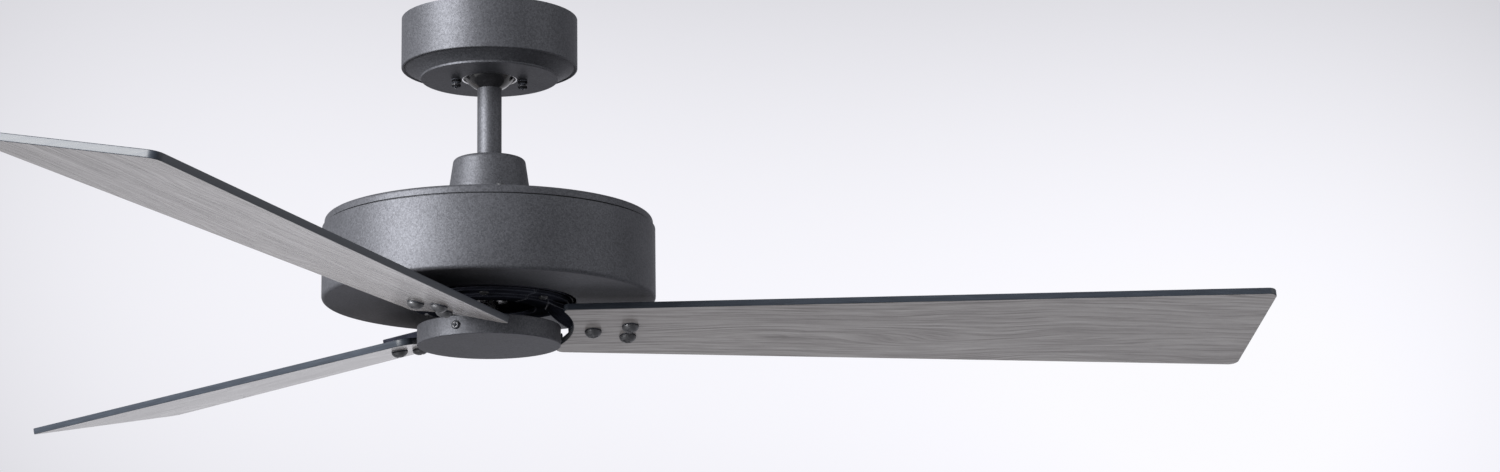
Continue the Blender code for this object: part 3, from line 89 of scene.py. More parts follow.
def rounded(corners: Sequence[Corner], closed: bool = True, steps: int = 6, ease: float = 0.0004) -> Array:
    """Rounds the corners of a flat line.

    With half the angle between a corner's two edges called h, its arc is centred radius / sin(h) along
    the bisector and meets the edges radius / tan(h) from the corner. One more point on each edge, just
    beyond the arc, keeps the flat beside it flat when it is shaded.

    Args:
        corners: each corner's two coordinates and its radius, which may be 0.
        closed: whether the last corner joins the first.
        steps: the number of steps in each arc.
        ease: how far beyond its arc the extra point lies, at most.

    Returns:
        The points, an array of (n, 2).
    """
    data = np.array(corners, float)
    points, radius = data[:, :2], data[:, 2]
    back, ahead = np.roll(points, 1, axis=0) - points, np.roll(points, -1, axis=0) - points
    back_length, ahead_length = np.linalg.norm(back, axis=1), np.linalg.norm(ahead, axis=1)
    one, two = back / back_length[:, None], ahead / ahead_length[:, None]
    half = np.maximum(np.arccos(np.clip((one * two).sum(axis=1), -1, 1)) / 2, 1e-6)
    reach = np.where(radius > 0, radius / np.tan(half), 0.0)
    middle = one + two
    middle /= np.maximum(np.linalg.norm(middle, axis=1), 1e-9)[:, None]
    centre = points + middle * (radius / np.sin(half))[:, None]
    start, end = points + one * reach[:, None], points + two * reach[:, None]
    first = np.arctan2(*(start - centre).T[::-1])
    sweep = np.arctan2(*(end - centre).T[::-1]) - first
    sweep = (sweep + math.pi) % math.tau - math.pi
    angle = first[:, None] + sweep[:, None] * np.linspace(0, 1, steps + 1)
    arc = centre[:, None] + radius[:, None, None] * np.stack([np.cos(angle), np.sin(angle)], axis=-1)
    arc[radius == 0] = points[radius == 0][:, None]
    room_back = np.clip((back_length - reach - np.roll(reach, 1)) * 0.3, 0, ease)
    room_ahead = np.clip((ahead_length - reach - np.roll(reach, -1)) * 0.3, 0, ease)
    rows = np.concatenate([(start + one * room_back[:, None])[:, None], arc,
                           (end + two * room_ahead[:, None])[:, None]], axis=1).reshape(-1, 2)
    rows = rows if closed else rows[1:-1]
    return rows[np.linalg.norm(rows - np.roll(rows, 1, axis=0), axis=1) > 1e-7]


def plain(points: Array, radius: float = 0.0) -> list[Corner]:
    """The points of a flat line as corners of one radius."""
    return [(float(x), float(y), radius) for x, y in points]


def turned(profile: Array, segments: int) -> Array:
    """A surface of revolution: (r, z) goes round to (r cos a, r sin a, z) for even steps of the angle a."""
    angle = math.tau * np.arange(segments) / segments
    r, z = profile.T
    height = np.tile(z, (segments, 1))
    return np.stack([np.outer(np.cos(angle), r), np.outer(np.sin(angle), r), height], axis=-1)


def swept_round(profile: Array, start: Array, end: Array, count: int) -> Array:
    """A profile carried part of the way round the axis, from its own start angle to its own end angle."""
    share = np.linspace(0, 1, count + 1)[:, None]
    angle = start + (end - start) * share
    r, z = profile.T
    return np.stack([r * np.cos(angle), r * np.sin(angle), np.broadcast_to(z, angle.shape)], axis=-1)


def outward(outline: Array) -> Array:
    """Unit vectors across a closed flat line that runs anticlockwise, pointing out of it."""
    along = np.roll(outline, -1, axis=0) - np.roll(outline, 1, axis=0)
    along /= np.linalg.norm(along, axis=1, keepdims=True)
    return np.stack([along[:, 1], -along[:, 0]], axis=1)


def moulded(outline: Array, section: Array, spine: Array) -> Array:
    """A plate whose edge follows an outline.

    Row k lies section[k, 0] inside the outline, across it, at the height section[k, 1]. The first and
    last rows are gathered onto the spine, a line of points inside the plate, which closes its two faces.

    Args:
        outline: anticlockwise points, (n, 2).
        section: from the lower face round the edge to the upper face, (k, 2).
        spine: for each outline point its own point on the spine, (n, 2).

    Returns:
        The grid of points, (k + 4, n, 3).
    """
    across = outward(outline)
    rows = outline[None] - across[None] * section[:, 0, None, None]
    height = np.broadcast_to(section[:, 1, None, None], rows.shape[:2] + (1,))
    rows = np.concatenate([rows, height], axis=-1)
    ends = []
    for row in (rows[0], rows[-1]):
        inner = np.concatenate([spine, row[:, 2:]], axis=1)
        ends.append(np.stack([inner, row * 0.5 + inner * 0.5]))
    return np.concatenate([ends[0], rows, ends[1][::-1]])


def spread_along(path: Array, ring: Array) -> Array:
    """A tube: a flat ring carried along a path.

    At each point of the path the ring's two axes are the cross products of the path's direction with
    a fixed vector, and of that with the direction again.

    Args:
        path: the points of the centreline, (n, 3).
        ring: the flat ring, (m, 2).

    Returns:
        The grid of points, (n, m, 3).
    """
    along = np.gradient(path, axis=0)
    along /= np.linalg.norm(along, axis=1, keepdims=True)
    side = np.cross(along, np.array([1.0, 0.0, 0.0]))
    side /= np.linalg.norm(side, axis=1, keepdims=True)
    up = np.cross(side, along)
    return path[:, None] + side[:, None] * ring[None, :, :1] + up[:, None] * ring[None, :, 1:]


def circle(radius: float, count: int) -> Array:
    """Even points round a circle."""
    angle = math.tau * np.arange(count) / count
    return radius * np.stack([np.cos(angle), np.sin(angle)], axis=1)


class Draft:
    """Gathers grids of points into one mesh."""

    def __init__(self) -> None:
        """Starts with no points."""
        self.points: list[Array] = []
        self.corners: list[Array] = []
        self.totals: list[Array] = []
        self.slots: list[Array] = []
        self.count = 0

    def _keep(self, points: Array, faces: Array, slots: Array) -> None:
        """Adds points, the faces on them (all with the same number of corners), and their finishes."""
        self.points.append(points.reshape(-1, 3))
        self.corners.append(faces.ravel() + self.count)
        self.totals.append(np.full(len(faces), faces.shape[1]))
        self.slots.append(slots)
        self.count += points.size // 3

    def grid(self, points: Array, wrap_rows: bool = False, wrap_columns: bool = False,
             row_slots: Array | None = None) -> "Draft":
        """Adds a grid of points with a four-sided face between each four neighbours.

        Args:
            points: the grid, (rows, columns, 3).
            wrap_rows: whether the last row joins the first.
            wrap_columns: whether the last column joins the first.
            row_slots: the number of the finish for each strip between two rows.

        Returns:
            This draft.
        """
        rows, columns = points.shape[:2]
        index = np.arange(rows * columns).reshape(rows, columns)
        if wrap_rows:
            index = np.vstack([index, index[:1]])
        if wrap_columns:
            index = np.hstack([index, index[:, :1]])
        faces = np.stack([index[:-1, :-1], index[1:, :-1], index[1:, 1:], index[:-1, 1:]], axis=-1)
        marks = np.zeros(faces.shape[0]) if row_slots is None else row_slots
        self._keep(points, faces.reshape(-1, 4), np.repeat(marks, faces.shape[1]))
        return self

    def cap(self, points: Array) -> "Draft":
        """Adds one flat face with the points as its corners."""
        self._keep(points, np.arange(len(points))[None], np.zeros(1))
        return self

    def piece(self, name: str, matrix: Matrix | None = None, crease: float = CREASE) -> bpy.types.Object:
        """Makes the object, with its place in its mesh.

        Args:
            name: the object's name.
            matrix: where the points go, or None where they are in place.
            crease: edges that turn by more than this many degrees are shaded sharp.

        Returns:
            The object, at the origin.
        """
        mesh = bpy.data.meshes.new(name)
        points = np.concatenate(self.points)
        corners, totals = np.concatenate(self.corners), np.concatenate(self.totals)
        mesh.vertices.add(len(points))
        mesh.vertices.foreach_set("co", points.astype(np.float32).ravel())
        mesh.loops.add(len(corners))
        mesh.loops.foreach_set("vertex_index", corners.astype(np.int32))
        mesh.polygons.add(len(totals))
        mesh.polygons.foreach_set("loop_start", (np.cumsum(totals) - totals).astype(np.int32))
        mesh.polygons.foreach_set("material_index", np.concatenate(self.slots).astype(np.int32))
        mesh.update(calc_edges=True)
        weld(mesh, matrix)
        shade(mesh, crease)
        made = bpy.data.objects.new(name, mesh)
        bpy.context.scene.collection.objects.link(made)
        return made


def weld(mesh: bpy.types.Mesh, matrix: Matrix | None = None) -> None:
    """Joins the points of seams and poles, moves the mesh by the matrix and turns its faces outwards."""
    shape = bmesh.new()
    shape.from_mesh(mesh)
    bmesh.ops.remove_doubles(shape, verts=shape.verts, dist=0.000001)
    bmesh.ops.dissolve_degenerate(shape, edges=shape.edges, dist=0.0000001)
    if matrix is not None:
        bmesh.ops.transform(shape, matrix=matrix, verts=shape.verts)
    bmesh.ops.recalc_face_normals(shape, faces=shape.faces)
    shape.to_mesh(mesh)
    shape.free()


def shade(mesh: bpy.types.Mesh, crease: float) -> None:
    """Shades a mesh smooth but for the edges that turn by more than that many degrees."""
    mesh.shade_smooth()
    mesh.set_sharp_from_angle(angle=math.radians(crease))


def lathe(name: str, profile: Array, segments: int, closed: bool = True,
          matrix: Matrix | None = None) -> bpy.types.Object:
    """A turned piece. Its profile is a closed line, or else an open one."""
    surface = turned(profile, segments)
    return Draft().grid(surface, wrap_rows=True, wrap_columns=closed).piece(name, matrix)


def bored(piece: bpy.types.Object, holes: Sequence[Hole]) -> bpy.types.Object:
    """Drills round holes through a piece.

    Args:
        piece: the piece, whose mesh is replaced.
        holes: each hole's start, end and radius.

    Returns:
        The piece.
    """
    cutters = []
    for start, end, radius in holes:
        length = (end - start).length
        profile = np.array([(0.0, 0.0), (radius, 0.0), (radius, length), (0.0, length)])
        place = Matrix.Translation(start) @ towards(end - start)
        cutter = lathe("drill", profile, 32, closed=False, matrix=place)
        step = piece.modifiers.new("drill", "BOOLEAN")
        step.operation, step.solver, step.object = "DIFFERENCE", "EXACT", cutter
        cutters.append(cutter)
    bpy.context.view_layer.update()
    graph = bpy.context.evaluated_depsgraph_get()
    mesh = bpy.data.meshes.new_from_object(piece.evaluated_get(graph), depsgraph=graph)
    piece.modifiers.clear()
    piece.data = mesh
    for cutter in cutters:
        bpy.data.objects.remove(cutter, do_unlink=True)
    shade(mesh, CREASE)
    return piece


def towards(direction: Place) -> Matrix:
    """The turn that brings +Z to a direction."""
    return Vector((0, 0, 1)).rotation_difference(Vector(direction)).to_matrix().to_4x4()


def around(radius: float, angle: float, z: float) -> tuple[float, float, float]:
    """A point at an angle round the axis."""
    return (radius * math.cos(angle), radius * math.sin(angle), z)


# Screws


@dataclass(frozen=True)
class Screw:
    """A machine screw along +Z: its head stands on z = 0 and its threaded shank runs down from there.

    The recess is a cross: sunk is its depth as a share of the head's height, and arm is half the width
    of its arms as a share of the head's radius. The land is the flat in the head's middle, as a share of
    the radius too.
    """

    head_radius: float
    head_height: float
    shank_radius: float
    length: float
    fullness: float = 2.4
    turn: float = 0.0
    grooved: bool = False
    land: float = 0.0
    sunk: float = 0.60
    arm: float = 0.13
    arm_reach: float = 0.58
    soft: float = 0.07
    pitch: float = 0.0007
    point: float = 0.0008

    def grid(self) -> Array:
        """The surface by angle and by place along the outline.

        The head's dome stands on its side, round a flat land. At the share s from the land's rim to the
        head's, its height is (1 - s ** fullness) ** (1 / fullness) of its whole, less the recess. Down
        the shank, the radius falls by a cosine of the height over the pitch less the angle, which makes
        a rolled thread.
        """
        angle = math.tau * np.arange(72)[:, None] / 72
        share = np.linspace(0, 1, 22) ** 0.8
        side = np.array([(1.0, 0.0)])
        base = 0.18
        if self.grooved:
            side = rounded([(1.0, 0.68, 0.0), (1.0, 0.61, 0.06), (0.70, 0.58, 0.02), (0.70, 0.46, 0.02),
                            (1.0, 0.42, 0.03), (1.0, 0.0, 0.0)], closed=False, steps=4, ease=0.01)
            base = side[0, 1]
        slope = np.clip((share - self.land) / (1 - self.land), 0, 1)
        height = self.head_height * (base + (1 - base) * (1 - slope ** self.fullness) ** (1 / self.fullness))
        x, y = share * np.cos(angle - self.turn), share * np.sin(angle - self.turn)
        top = height - self._recess(x, y) * self.head_height * self.sunk * (1.0 - 0.5 * share)
        low = np.linspace(0, 1, 40)
        depth = low * (self.length - self.point)
        thread = 0.11 * self.shank_radius * (0.5 + 0.5 * np.cos(math.tau * depth / self.pitch - angle))
        shank = self.shank_radius - thread * np.clip(low * 6, 0, 1)
        ones = np.ones_like(angle)
        reach = np.hstack([share * self.head_radius * ones, side[:, 0] * self.head_radius * ones, shank,
                           self.shank_radius * 0.55 * ones, 0.0 * ones])
        rise = np.hstack([top, side[:, 1] * self.head_height * ones, -depth * ones, -self.length * ones,
                          -self.length * ones])
        return np.stack([reach * np.cos(angle), reach * np.sin(angle), rise], axis=-1)

    def _recess(self, x: Array, y: Array) -> Array:
        """How far a place on the head lies in the recess, from 0 to 1, for shares of the head's radius."""
        def within(value: Array, half: float) -> Array:
            """1 inside a stripe of that half width, with a soft edge."""
            return np.clip((half - np.abs(value)) / self.soft + 0.5, 0, 1)

        arms = (within(one, self.arm) * within(other, self.arm_reach) for one, other in ((x, y), (y, x)))
        return np.maximum(*arms)

    def piece(self, name: str, at: Place, outwards: Place) -> bpy.types.Object:
        """The screw with its head's underside at a point and its head towards a direction."""
        place = Matrix.Translation(at) @ towards(outwards)
        return Draft().grid(self.grid(), wrap_rows=True).piece(name, place, THREAD_CREASE)

    def mark(self, piece: bpy.types.Object, at: Place, outwards: Place, low: float, high: float) -> None:
        """Gives the second look to the faces whose height over the head's is between two shares."""
        axis = Vector(outwards).normalized()
        for face in piece.data.polygons:
            rise = (face.center - Vector(at)).dot(axis) / self.head_height
            face.material_index = int(low < rise < high)


SMALL_SCREW = Screw(head_radius=0.0040, head_height=0.0024, shank_radius=0.0020, length=0.0058)
CANOPY_SCREW = Screw(head_radius=0.0042, head_height=0.0076, shank_radius=0.0020, length=0.0040, fullness=2.2,
                     turn=0.5, grooved=True)
BLADE_SCREW = Screw(head_radius=0.0073, head_height=0.0060, shank_radius=0.0022, length=0.0106, fullness=2.0,
                    sunk=0.22)
CUP_SCREW = Screw(head_radius=0.0038, head_height=0.0013, shank_radius=0.0020, length=0.0064, fullness=2.2,
                  turn=0.78, land=0.54, sunk=0.9, arm=0.19)


# Finishes


class Signal:
    """A node's output. Arithmetic on it, with numbers or other outputs, adds Math nodes."""

    def __init__(self, bench: "Bench", socket: bpy.types.NodeSocket) -> None:
        """Holds the socket and the tree that it is in."""
        self.bench = bench
        self.socket = socket

    def other(self, name: str) -> "Signal":
        """Another output of the same node."""
        return Signal(self.bench, self.socket.node.outputs[name])

    def _maths(self, operation: str, first: Any, second: Any) -> "Signal":
        """A Math node on two values."""
        return self.bench.put("ShaderNodeMath", {"operation": operation}, {0: first, 1: second})

    def __add__(self, value: Any) -> "Signal":
        """The sum."""
        return self._maths("ADD", self, value)

    def __radd__(self, value: Any) -> "Signal":
        """The sum, with the number first."""
        return self._maths("ADD", value, self)

    def __sub__(self, value: Any) -> "Signal":
        """The difference."""
        return self._maths("SUBTRACT", self, value)

    def __rsub__(self, value: Any) -> "Signal":
        """The difference, from the number."""
        return self._maths("SUBTRACT", value, self)

    def __mul__(self, value: Any) -> "Signal":
        """The product."""
        return self._maths("MULTIPLY", self, value)

    def __rmul__(self, value: Any) -> "Signal":
        """The product, with the number first."""
        return self._maths("MULTIPLY", value, self)

    def __pow__(self, value: Any) -> "Signal":
        """The power."""
        return self._maths("POWER", self, value)

    def least(self, value: Any) -> "Signal":
        """The lower of the two."""
        return self._maths("MINIMUM", self, value)

    def most(self, value: Any) -> "Signal":
        """The higher of the two."""
        return self._maths("MAXIMUM", self, value)

    def sine(self) -> "Signal":
        """The sine."""
        return self._maths("SINE", self, 0.0)


class Bench:
    """A node tree, and the one method that adds nodes to it."""

    def __init__(self, tree: bpy.types.NodeTree) -> None:
        """Empties the tree."""
        self.tree = tree
        tree.nodes.clear()

    def put(self, kind: str, settings: dict[str, Any] | None = None, sockets: dict[Any, Any] | None = None,
            output: int | str = 0) -> Signal:
        """Adds a node.

        Args:
            kind: the node's type.
            settings: what is set on the node first. "stops" are a ramp's places and colours.
            sockets: values or signals for its inputs, by name or number.
            output: the output that is wanted.

        Returns:
            That output.
        """
        node = self.tree.nodes.new(kind)
        for key, value in (settings or {}).items():
            if key == "stops":
                self._stops(node.color_ramp, value)
            else:
                setattr(node, key, value)
        for key, value in (sockets or {}).items():
            if isinstance(value, Signal):
                self.tree.links.new(value.socket, node.inputs[key])
            else:
                node.inputs[key].default_value = value
        return Signal(self, node.outputs[output] if len(node.outputs) else None)

    @staticmethod
    def _stops(ramp: bpy.types.ColorRamp, stops: Sequence[tuple[float, Sequence[float]]]) -> None:
        """Sets a ramp's places and colours."""
        while len(ramp.elements) < len(stops):
            ramp.elements.new(1.0)
        for element, (place, colour) in zip(ramp.elements, stops):
            element.position = place
            element.color = (*colour, 1.0)

    def place(self) -> Signal:
        """The point on the piece, in metres."""
        return self.put("ShaderNodeTexCoord", output="Object")

    def mapped(self, vector: Signal, scale: Sequence[float] = (1, 1, 1), turn: float = 0.0,
               shift: Sequence[float] = (0, 0, 0)) -> Signal:
        """The vector turned about Z, then stretched, then moved."""
        spun = self.put("ShaderNodeMapping", {}, {"Vector": vector, "Rotation": (0.0, 0.0, turn)})
        return self.put("ShaderNodeMapping", {}, {"Vector": spun, "Scale": scale, "Location": shift})

    def noise(self, vector: Signal, scale: float, detail: float = 3.0, roughness: float = 0.55) -> Signal:
        """Smooth noise from about 0.3 to 0.7."""
        sockets = {"Vector": vector, "Scale": scale, "Detail": detail, "Roughness": roughness}
        return self.put("ShaderNodeTexNoise", {}, sockets)

    def cells(self, vector: Signal, scale: float, randomness: float = 1.0) -> Signal:
        """The distance to the nearest of scattered points."""
        sockets = {"Vector": vector, "Scale": scale, "Randomness": randomness}
        return self.put("ShaderNodeTexVoronoi", {}, sockets)

    def spread(self, value: Signal, low: float, high: float, to_low: float = 0.0,
               to_high: float = 1.0) -> Signal:
        """The value's range from low to high stretched smoothly to another range, and held at its ends."""
        sockets = {"Value": value, "From Min": low, "From Max": high, "To Min": to_low, "To Max": to_high}
        return self.put("ShaderNodeMapRange", {"interpolation_type": "SMOOTHSTEP"}, sockets)

    def dot(self, first: Any, second: Any) -> Signal:
        """How far one vector runs along another."""
        return self.put("ShaderNodeVectorMath", {"operation": "DOT_PRODUCT"}, {0: first, 1: second}, "Value")

    def grey(self, value: Any) -> Signal:
        """The colour with that value in each channel."""
        return self.put("ShaderNodeCombineColor", {}, {0: value, 1: value, 2: value})

    def blend(self, share: Any, first: Any, second: Any, way: str = "MIX") -> Signal:
        """A mix of two colours."""
        return self.put("ShaderNodeMix", {"data_type": "RGBA", "blend_type": way},
                        {0: share, 6: opaque(first), 7: opaque(second)}, output=2)

    def bump(self, height: Signal, depth: float, strength: float, normal: Signal | None = None) -> Signal:
        """A normal that follows a height of that many metres."""
        sockets = {"Height": height, "Distance": depth, "Strength": strength}
        if normal is not None:
            sockets["Normal"] = normal
        return self.put("ShaderNodeBump", {}, sockets)

    def edges(self, radius: float) -> Signal:
        """1 on convex edges, 0 away from them: where the rounded and the true normal part."""
        soft = self.put("ShaderNodeBevel", {"samples": 6}, {"Radius": radius})
        true = self.put("ShaderNodeNewGeometry", output="Normal")
        return self.spread(self.dot(soft, true), 0.998, 0.88)

    def surface(self, **sockets: Any) -> None:
        """The surface shader and the output. A name's _ stands for a space."""
        named = {key.replace("_", " "): opaque(value) for key, value in sockets.items()}
        shader = self.put("ShaderNodeBsdfPrincipled", {}, named)
        self.put("ShaderNodeOutputMaterial", {}, {"Surface": shader})


def opaque(value: Any) -> Any:
    """A colour with its alpha of 1, or any other value as it is."""
    return (*value, 1.0) if isinstance(value, tuple) and len(value) == 3 else value


def scaled(colour: Colour, factor: float) -> Colour:
    """A colour times a factor."""
    return tuple(channel * factor for channel in colour)


def bench_for(name: str) -> tuple[bpy.types.Material, Bench]:
    """A new material and the bench on its tree."""
    made = bpy.data.materials.new(name)
    made.use_nodes = True
    return made, Bench(made.node_tree)


@dataclass(frozen=True)
class Finish:
    """A look that is drawn on a bench."""

    def paint(self, b: Bench, place: Signal) -> None:
        """Adds the finish's nodes, from the point on the piece to the surface."""
        raise NotImplementedError

    def material(self, name: str) -> bpy.types.Material:
        """A new material with this finish."""
        made, b = bench_for(name)
        self.paint(b, b.place())
        return made


@dataclass(frozen=True)
class PowderCoat(Finish):
    """Satin powder coat: a metallic-flecked colour with a fine orange-peel skin."""

    colour: Colour = (0.070, 0.072, 0.081)
    gloss: float = 0.46
    metal: float = 0.45
    peel: float = 0.00016

    def paint(self, b: Bench, place: Signal) -> None:
        """Adds the finish's nodes."""
        cloud = b.noise(place, 16.0, 2.0)
        fleck = b.put("ShaderNodeRGBToBW", {}, {0: b.cells(place, 900.0).other("Color")})
        grain = b.noise(place, 700.0, 3.0, 0.7)
        base = b.blend(b.spread(cloud, 0.3, 0.7), scaled(self.colour, 0.93), scaled(self.colour, 1.07))
        base = b.blend(0.35, base, fleck, "SOFT_LIGHT")
        dust = b.spread(b.noise(place, 420.0, 3.0, 0.7), 0.45, 0.75)
        rough = self.gloss + 0.05 * dust + 0.06 * grain
        peel = b.bump(grain, self.peel, 0.5, b.bump(b.noise(place, 330.0, 2.0), self.peel * 2, 0.30))
        b.surface(Base_Color=base, Roughness=rough, Metallic=self.metal, Specular_IOR_Level=0.36,
                  Specular_Tint=(0.55, 0.55, 0.58), Normal=peel)


@dataclass(frozen=True)
class WeatheredWood(Finish):
    """Weathered grey-brown wood under a satin lacquer, with its grain along the blade.

    turn is the blade's angle round the axis, and cut picks the part of the wood that it is sawn from.
    """

    dark: Colour = (0.150, 0.137, 0.134)
    middle: Colour = (0.275, 0.257, 0.254)
    light: Colour = (0.400, 0.385, 0.383)
    turn: float = 0.0
    cut: float = 0.0

    def paint(self, b: Bench, place: Signal) -> None:
        """Adds the finish's nodes.

        The grain's own coordinate is the place across the blade, waved by slow noise and pushed out
        round scattered knots. Noise that is drawn out along the blade over that coordinate gives the
        bands, the streaks and the fibres.
        """
        place = b.mapped(place, turn=-self.turn, shift=(self.cut, self.cut * 0.37, self.cut * 1.7))
        flat = b.put("ShaderNodeSeparateXYZ", {}, {0: place})
        along, across = flat, flat.other("Y")
        wave = b.noise(b.mapped(place, (3.6, 8.0, 1.0)), 1.0, 2.0, 0.5) - 0.5
        away = b.cells(b.mapped(place, (3.4, 15.0, 0.0)), 1.0, 0.85)
        swell = b.spread(away, 0.55, 0.02)
        grain = across + 0.050 * wave + 0.030 * swell

        def drawn(slow: float, fast: float, detail: float) -> Signal:
            """Noise that changes slowly along the grain and fast across it."""
            vector = b.put("ShaderNodeCombineXYZ", {}, {0: along * slow, 1: grain * fast, 2: 0.0})
            return b.noise(vector, 1.0, detail, 0.6)

        bands = b.spread(drawn(1.2, 30.0, 3.0), 0.34, 0.66)
        rings = (grain * 880.0 + 9.0 * b.noise(b.mapped(place, (2.0, 26.0, 1.0)), 1.0)).sine()
        streaks = b.spread(drawn(8.0, 260.0, 5.0), 0.32, 0.68)
        fibres = b.spread(drawn(26.0, 900.0, 3.0), 0.32, 0.68)
        tone = 0.14 * bands + 0.055 * rings + 0.52 * streaks + 0.38 * fibres - 0.04
        stops = [(0.10, self.dark), (0.48, self.middle), (0.86, self.light)]
        ramp = b.put("ShaderNodeValToRGB", {"stops": stops}, {"Fac": tone})
        crack = b.spread(drawn(7.0, 230.0, 5.0), 0.36, 0.31)
        heart = b.spread(away, 0.09, 0.02)
        base = b.blend(0.40 * crack, ramp, self.dark)
        base = b.blend(0.55 * heart, base, scaled(self.dark, 0.5))
        rough = 0.24 - 0.08 * tone + 0.10 * crack
        b.surface(Base_Color=base, Roughness=rough, Normal=b.bump(tone - 0.4 * crack, 0.00012, 0.5))

@dataclass(frozen=True)
class EdgeBand(Finish):
    """The painted edge of a blade: dark slate, with faint strokes."""

    colour: Colour = (0.029, 0.036, 0.048)

    def paint(self, b: Bench, place: Signal) -> None:
        """Adds the finish's nodes."""
        stroke = b.noise(b.mapped(place, (40.0, 40.0, 900.0)), 1.0)
        base = b.blend(b.spread(stroke, 0.3, 0.7), scaled(self.colour, 0.72), self.colour)
        b.surface(Base_Color=base, Roughness=0.34 + 0.16 * stroke, Specular_IOR_Level=0.38,
                  Normal=b.bump(stroke, 0.00010, 0.4))


@dataclass(frozen=True)
class Casting(Finish):
    """Black paint on a sand or die casting over its grain; lighter edges are part wear, part painted
    highlight.
    """

    colour: Colour = (0.013, 0.014, 0.020)
    # The colour of the lighter edges: partly wear, partly a painted highlight.
    wear_and_edge_highlight: Colour = (0.13, 0.14, 0.17)
    gloss: float = 0.45
    grain: float = 0.00008

    def paint(self, b: Bench, place: Signal) -> None:
        """Adds the finish's nodes."""
        skin = b.noise(place, 520.0, 4.0, 0.65)
        cloud = b.noise(place, 45.0)
        base = b.blend(b.spread(cloud, 0.3, 0.7), self.colour, scaled(self.colour, 1.9))
        # Lighter, glossier colour on convex edges: partly edge wear, partly a painted highlight where the
        # edges catch the light.
        wear_and_edge_highlight = b.edges(0.0016) * (0.35 + 0.9 * cloud)
        base = b.blend(wear_and_edge_highlight, base, self.wear_and_edge_highlight)
        rough = self.gloss + 0.18 * cloud + 0.08 * skin
        b.surface(Base_Color=base, Roughness=rough, Specular_IOR_Level=0.0, Coat_Weight=0.6 * wear_and_edge_highlight,
                  Coat_Roughness=0.25, Normal=b.bump(skin, self.grain, 0.5))


@dataclass(frozen=True)
class Gloss(Finish):
    """Polished black with faint scuffs from the seat."""

    colour: Colour = (0.010, 0.010, 0.011)

    def paint(self, b: Bench, place: Signal) -> None:
        """Adds the finish's nodes."""
        cloud = b.noise(place, 70.0, 4.0, 0.6)
        scuff = b.spread(b.noise(b.mapped(place, (60.0, 60.0, 1400.0)), 1.0), 0.55, 0.72)
        base = b.blend(b.spread(cloud, 0.4, 0.7), self.colour, scaled(self.colour, 1.8))
        b.surface(Base_Color=base, Roughness=0.10 + 0.05 * cloud + 0.10 * scuff, Specular_IOR_Level=0.9,
                  Normal=b.bump(scuff, 0.00001, 0.3))


@dataclass(frozen=True)
class Metal(Finish):
    """Bare or plated metal with fine lines from its making, tarnish and small marks."""

    colour: Colour = (0.46, 0.46, 0.47)
    tint: Colour = (0.36, 0.35, 0.33)
    gloss: float = 0.30
    metal: float = 1.0
    lines: tuple[float, float, float] = (60.0, 60.0, 2200.0)

    def paint(self, b: Bench, place: Signal) -> None:
        """Adds the finish's nodes."""
        line = b.noise(b.mapped(place, self.lines), 1.0)
        tarnish = b.spread(b.noise(place, 95.0, 4.0, 0.65), 0.42, 0.68)
        base = b.blend(tarnish, self.colour, self.tint)
        base = b.blend(0.22 * line, base, scaled(self.tint, 0.6))
        rough = self.gloss + 0.16 * tarnish + 0.08 * line
        b.surface(Base_Color=base, Roughness=rough, Metallic=self.metal, Normal=b.bump(line, 0.00003, 0.35))


@dataclass(frozen=True)
class Moulded(Finish):
    """Moulded plastic, rubber or lacquer with a fine texture and faint clouds."""

    colour: Colour = (0.10, 0.10, 0.11)
    second: Colour = (0.07, 0.07, 0.08)
    gloss: float = 0.5

    def paint(self, b: Bench, place: Signal) -> None:
        """Adds the finish's nodes."""
        cloud = b.spread(b.noise(place, 80.0, 4.0, 0.6), 0.35, 0.65)
        grain = b.noise(place, 900.0, 3.0, 0.6)
        base = b.blend(cloud, self.colour, self.second)
        b.surface(Base_Color=base, Roughness=self.gloss + 0.12 * grain, Normal=b.bump(grain, 0.00005, 0.4))


SLOT_FINISHES: dict[Slot, Finish] = {
    Slot.GRAPHITE: PowderCoat(),
    Slot.IRON: Casting(),
    Slot.CASTING: Casting(colour=(0.007, 0.007, 0.010), grain=0.00012),
    Slot.GLOSS_BLACK: Gloss(),
    Slot.STEEL: Metal(),
    Slot.BRIGHT: Metal(colour=(0.62, 0.62, 0.63), tint=(0.50, 0.50, 0.50), gloss=0.18),
    Slot.SCREW: Metal(colour=(0.075, 0.077, 0.083), tint=(0.045, 0.046, 0.050), metal=0.6),
    Slot.WOOD: WeatheredWood(),
    Slot.COPPER: Metal(colour=(0.72, 0.30, 0.15), tint=(0.50, 0.19, 0.09), gloss=0.28,
                       lines=(900.0, 900.0, 2600.0)),
    Slot.BOARD: Moulded(colour=(0.02, 0.15, 0.05), second=(0.03, 0.21, 0.08), gloss=0.32),
    Slot.LEAD: Moulded(),
    Slot.PLUG: Moulded(colour=(0.78, 0.77, 0.72), second=(0.70, 0.68, 0.62), gloss=0.42),
    Slot.MAGNET: Moulded(colour=(0.040, 0.040, 0.045), second=(0.06, 0.06, 0.064), gloss=0.62),
}
SPECIAL_FINISHES: dict[str, Finish] = {
    # The hole's bare cut edge, made near-white: partly bare metal, partly a painted highlight.
    "canopy_bare_edge_and_highlight": Metal(colour=(0.92, 0.92, 0.94), tint=(0.85, 0.85, 0.87), gloss=0.18),
    # Black paint on the canopy screws; on the blade screws, the same black is painted shade at the foot of
    # the head.
    "black_screw_and_contact_shade": Casting(colour=(0.008, 0.008, 0.009), gloss=0.26),
    # Lighter metal for the canopy screws' rim band: a painted highlight where the rim catches the light.
    "painted_highlight_rim": Metal(colour=(0.30, 0.30, 0.31), tint=(0.22, 0.22, 0.22), gloss=0.34),
    "blade_edge": EdgeBand(),
    "zinc_screw": Metal(colour=(0.130, 0.132, 0.140), tint=(0.100, 0.101, 0.108), gloss=0.32, metal=0.6),
    "black_cup_screw": Casting(colour=(0.006, 0.006, 0.007), gloss=0.26),
    "worn_land": Metal(colour=(0.12, 0.12, 0.125), tint=(0.09, 0.09, 0.095), gloss=0.40),
}


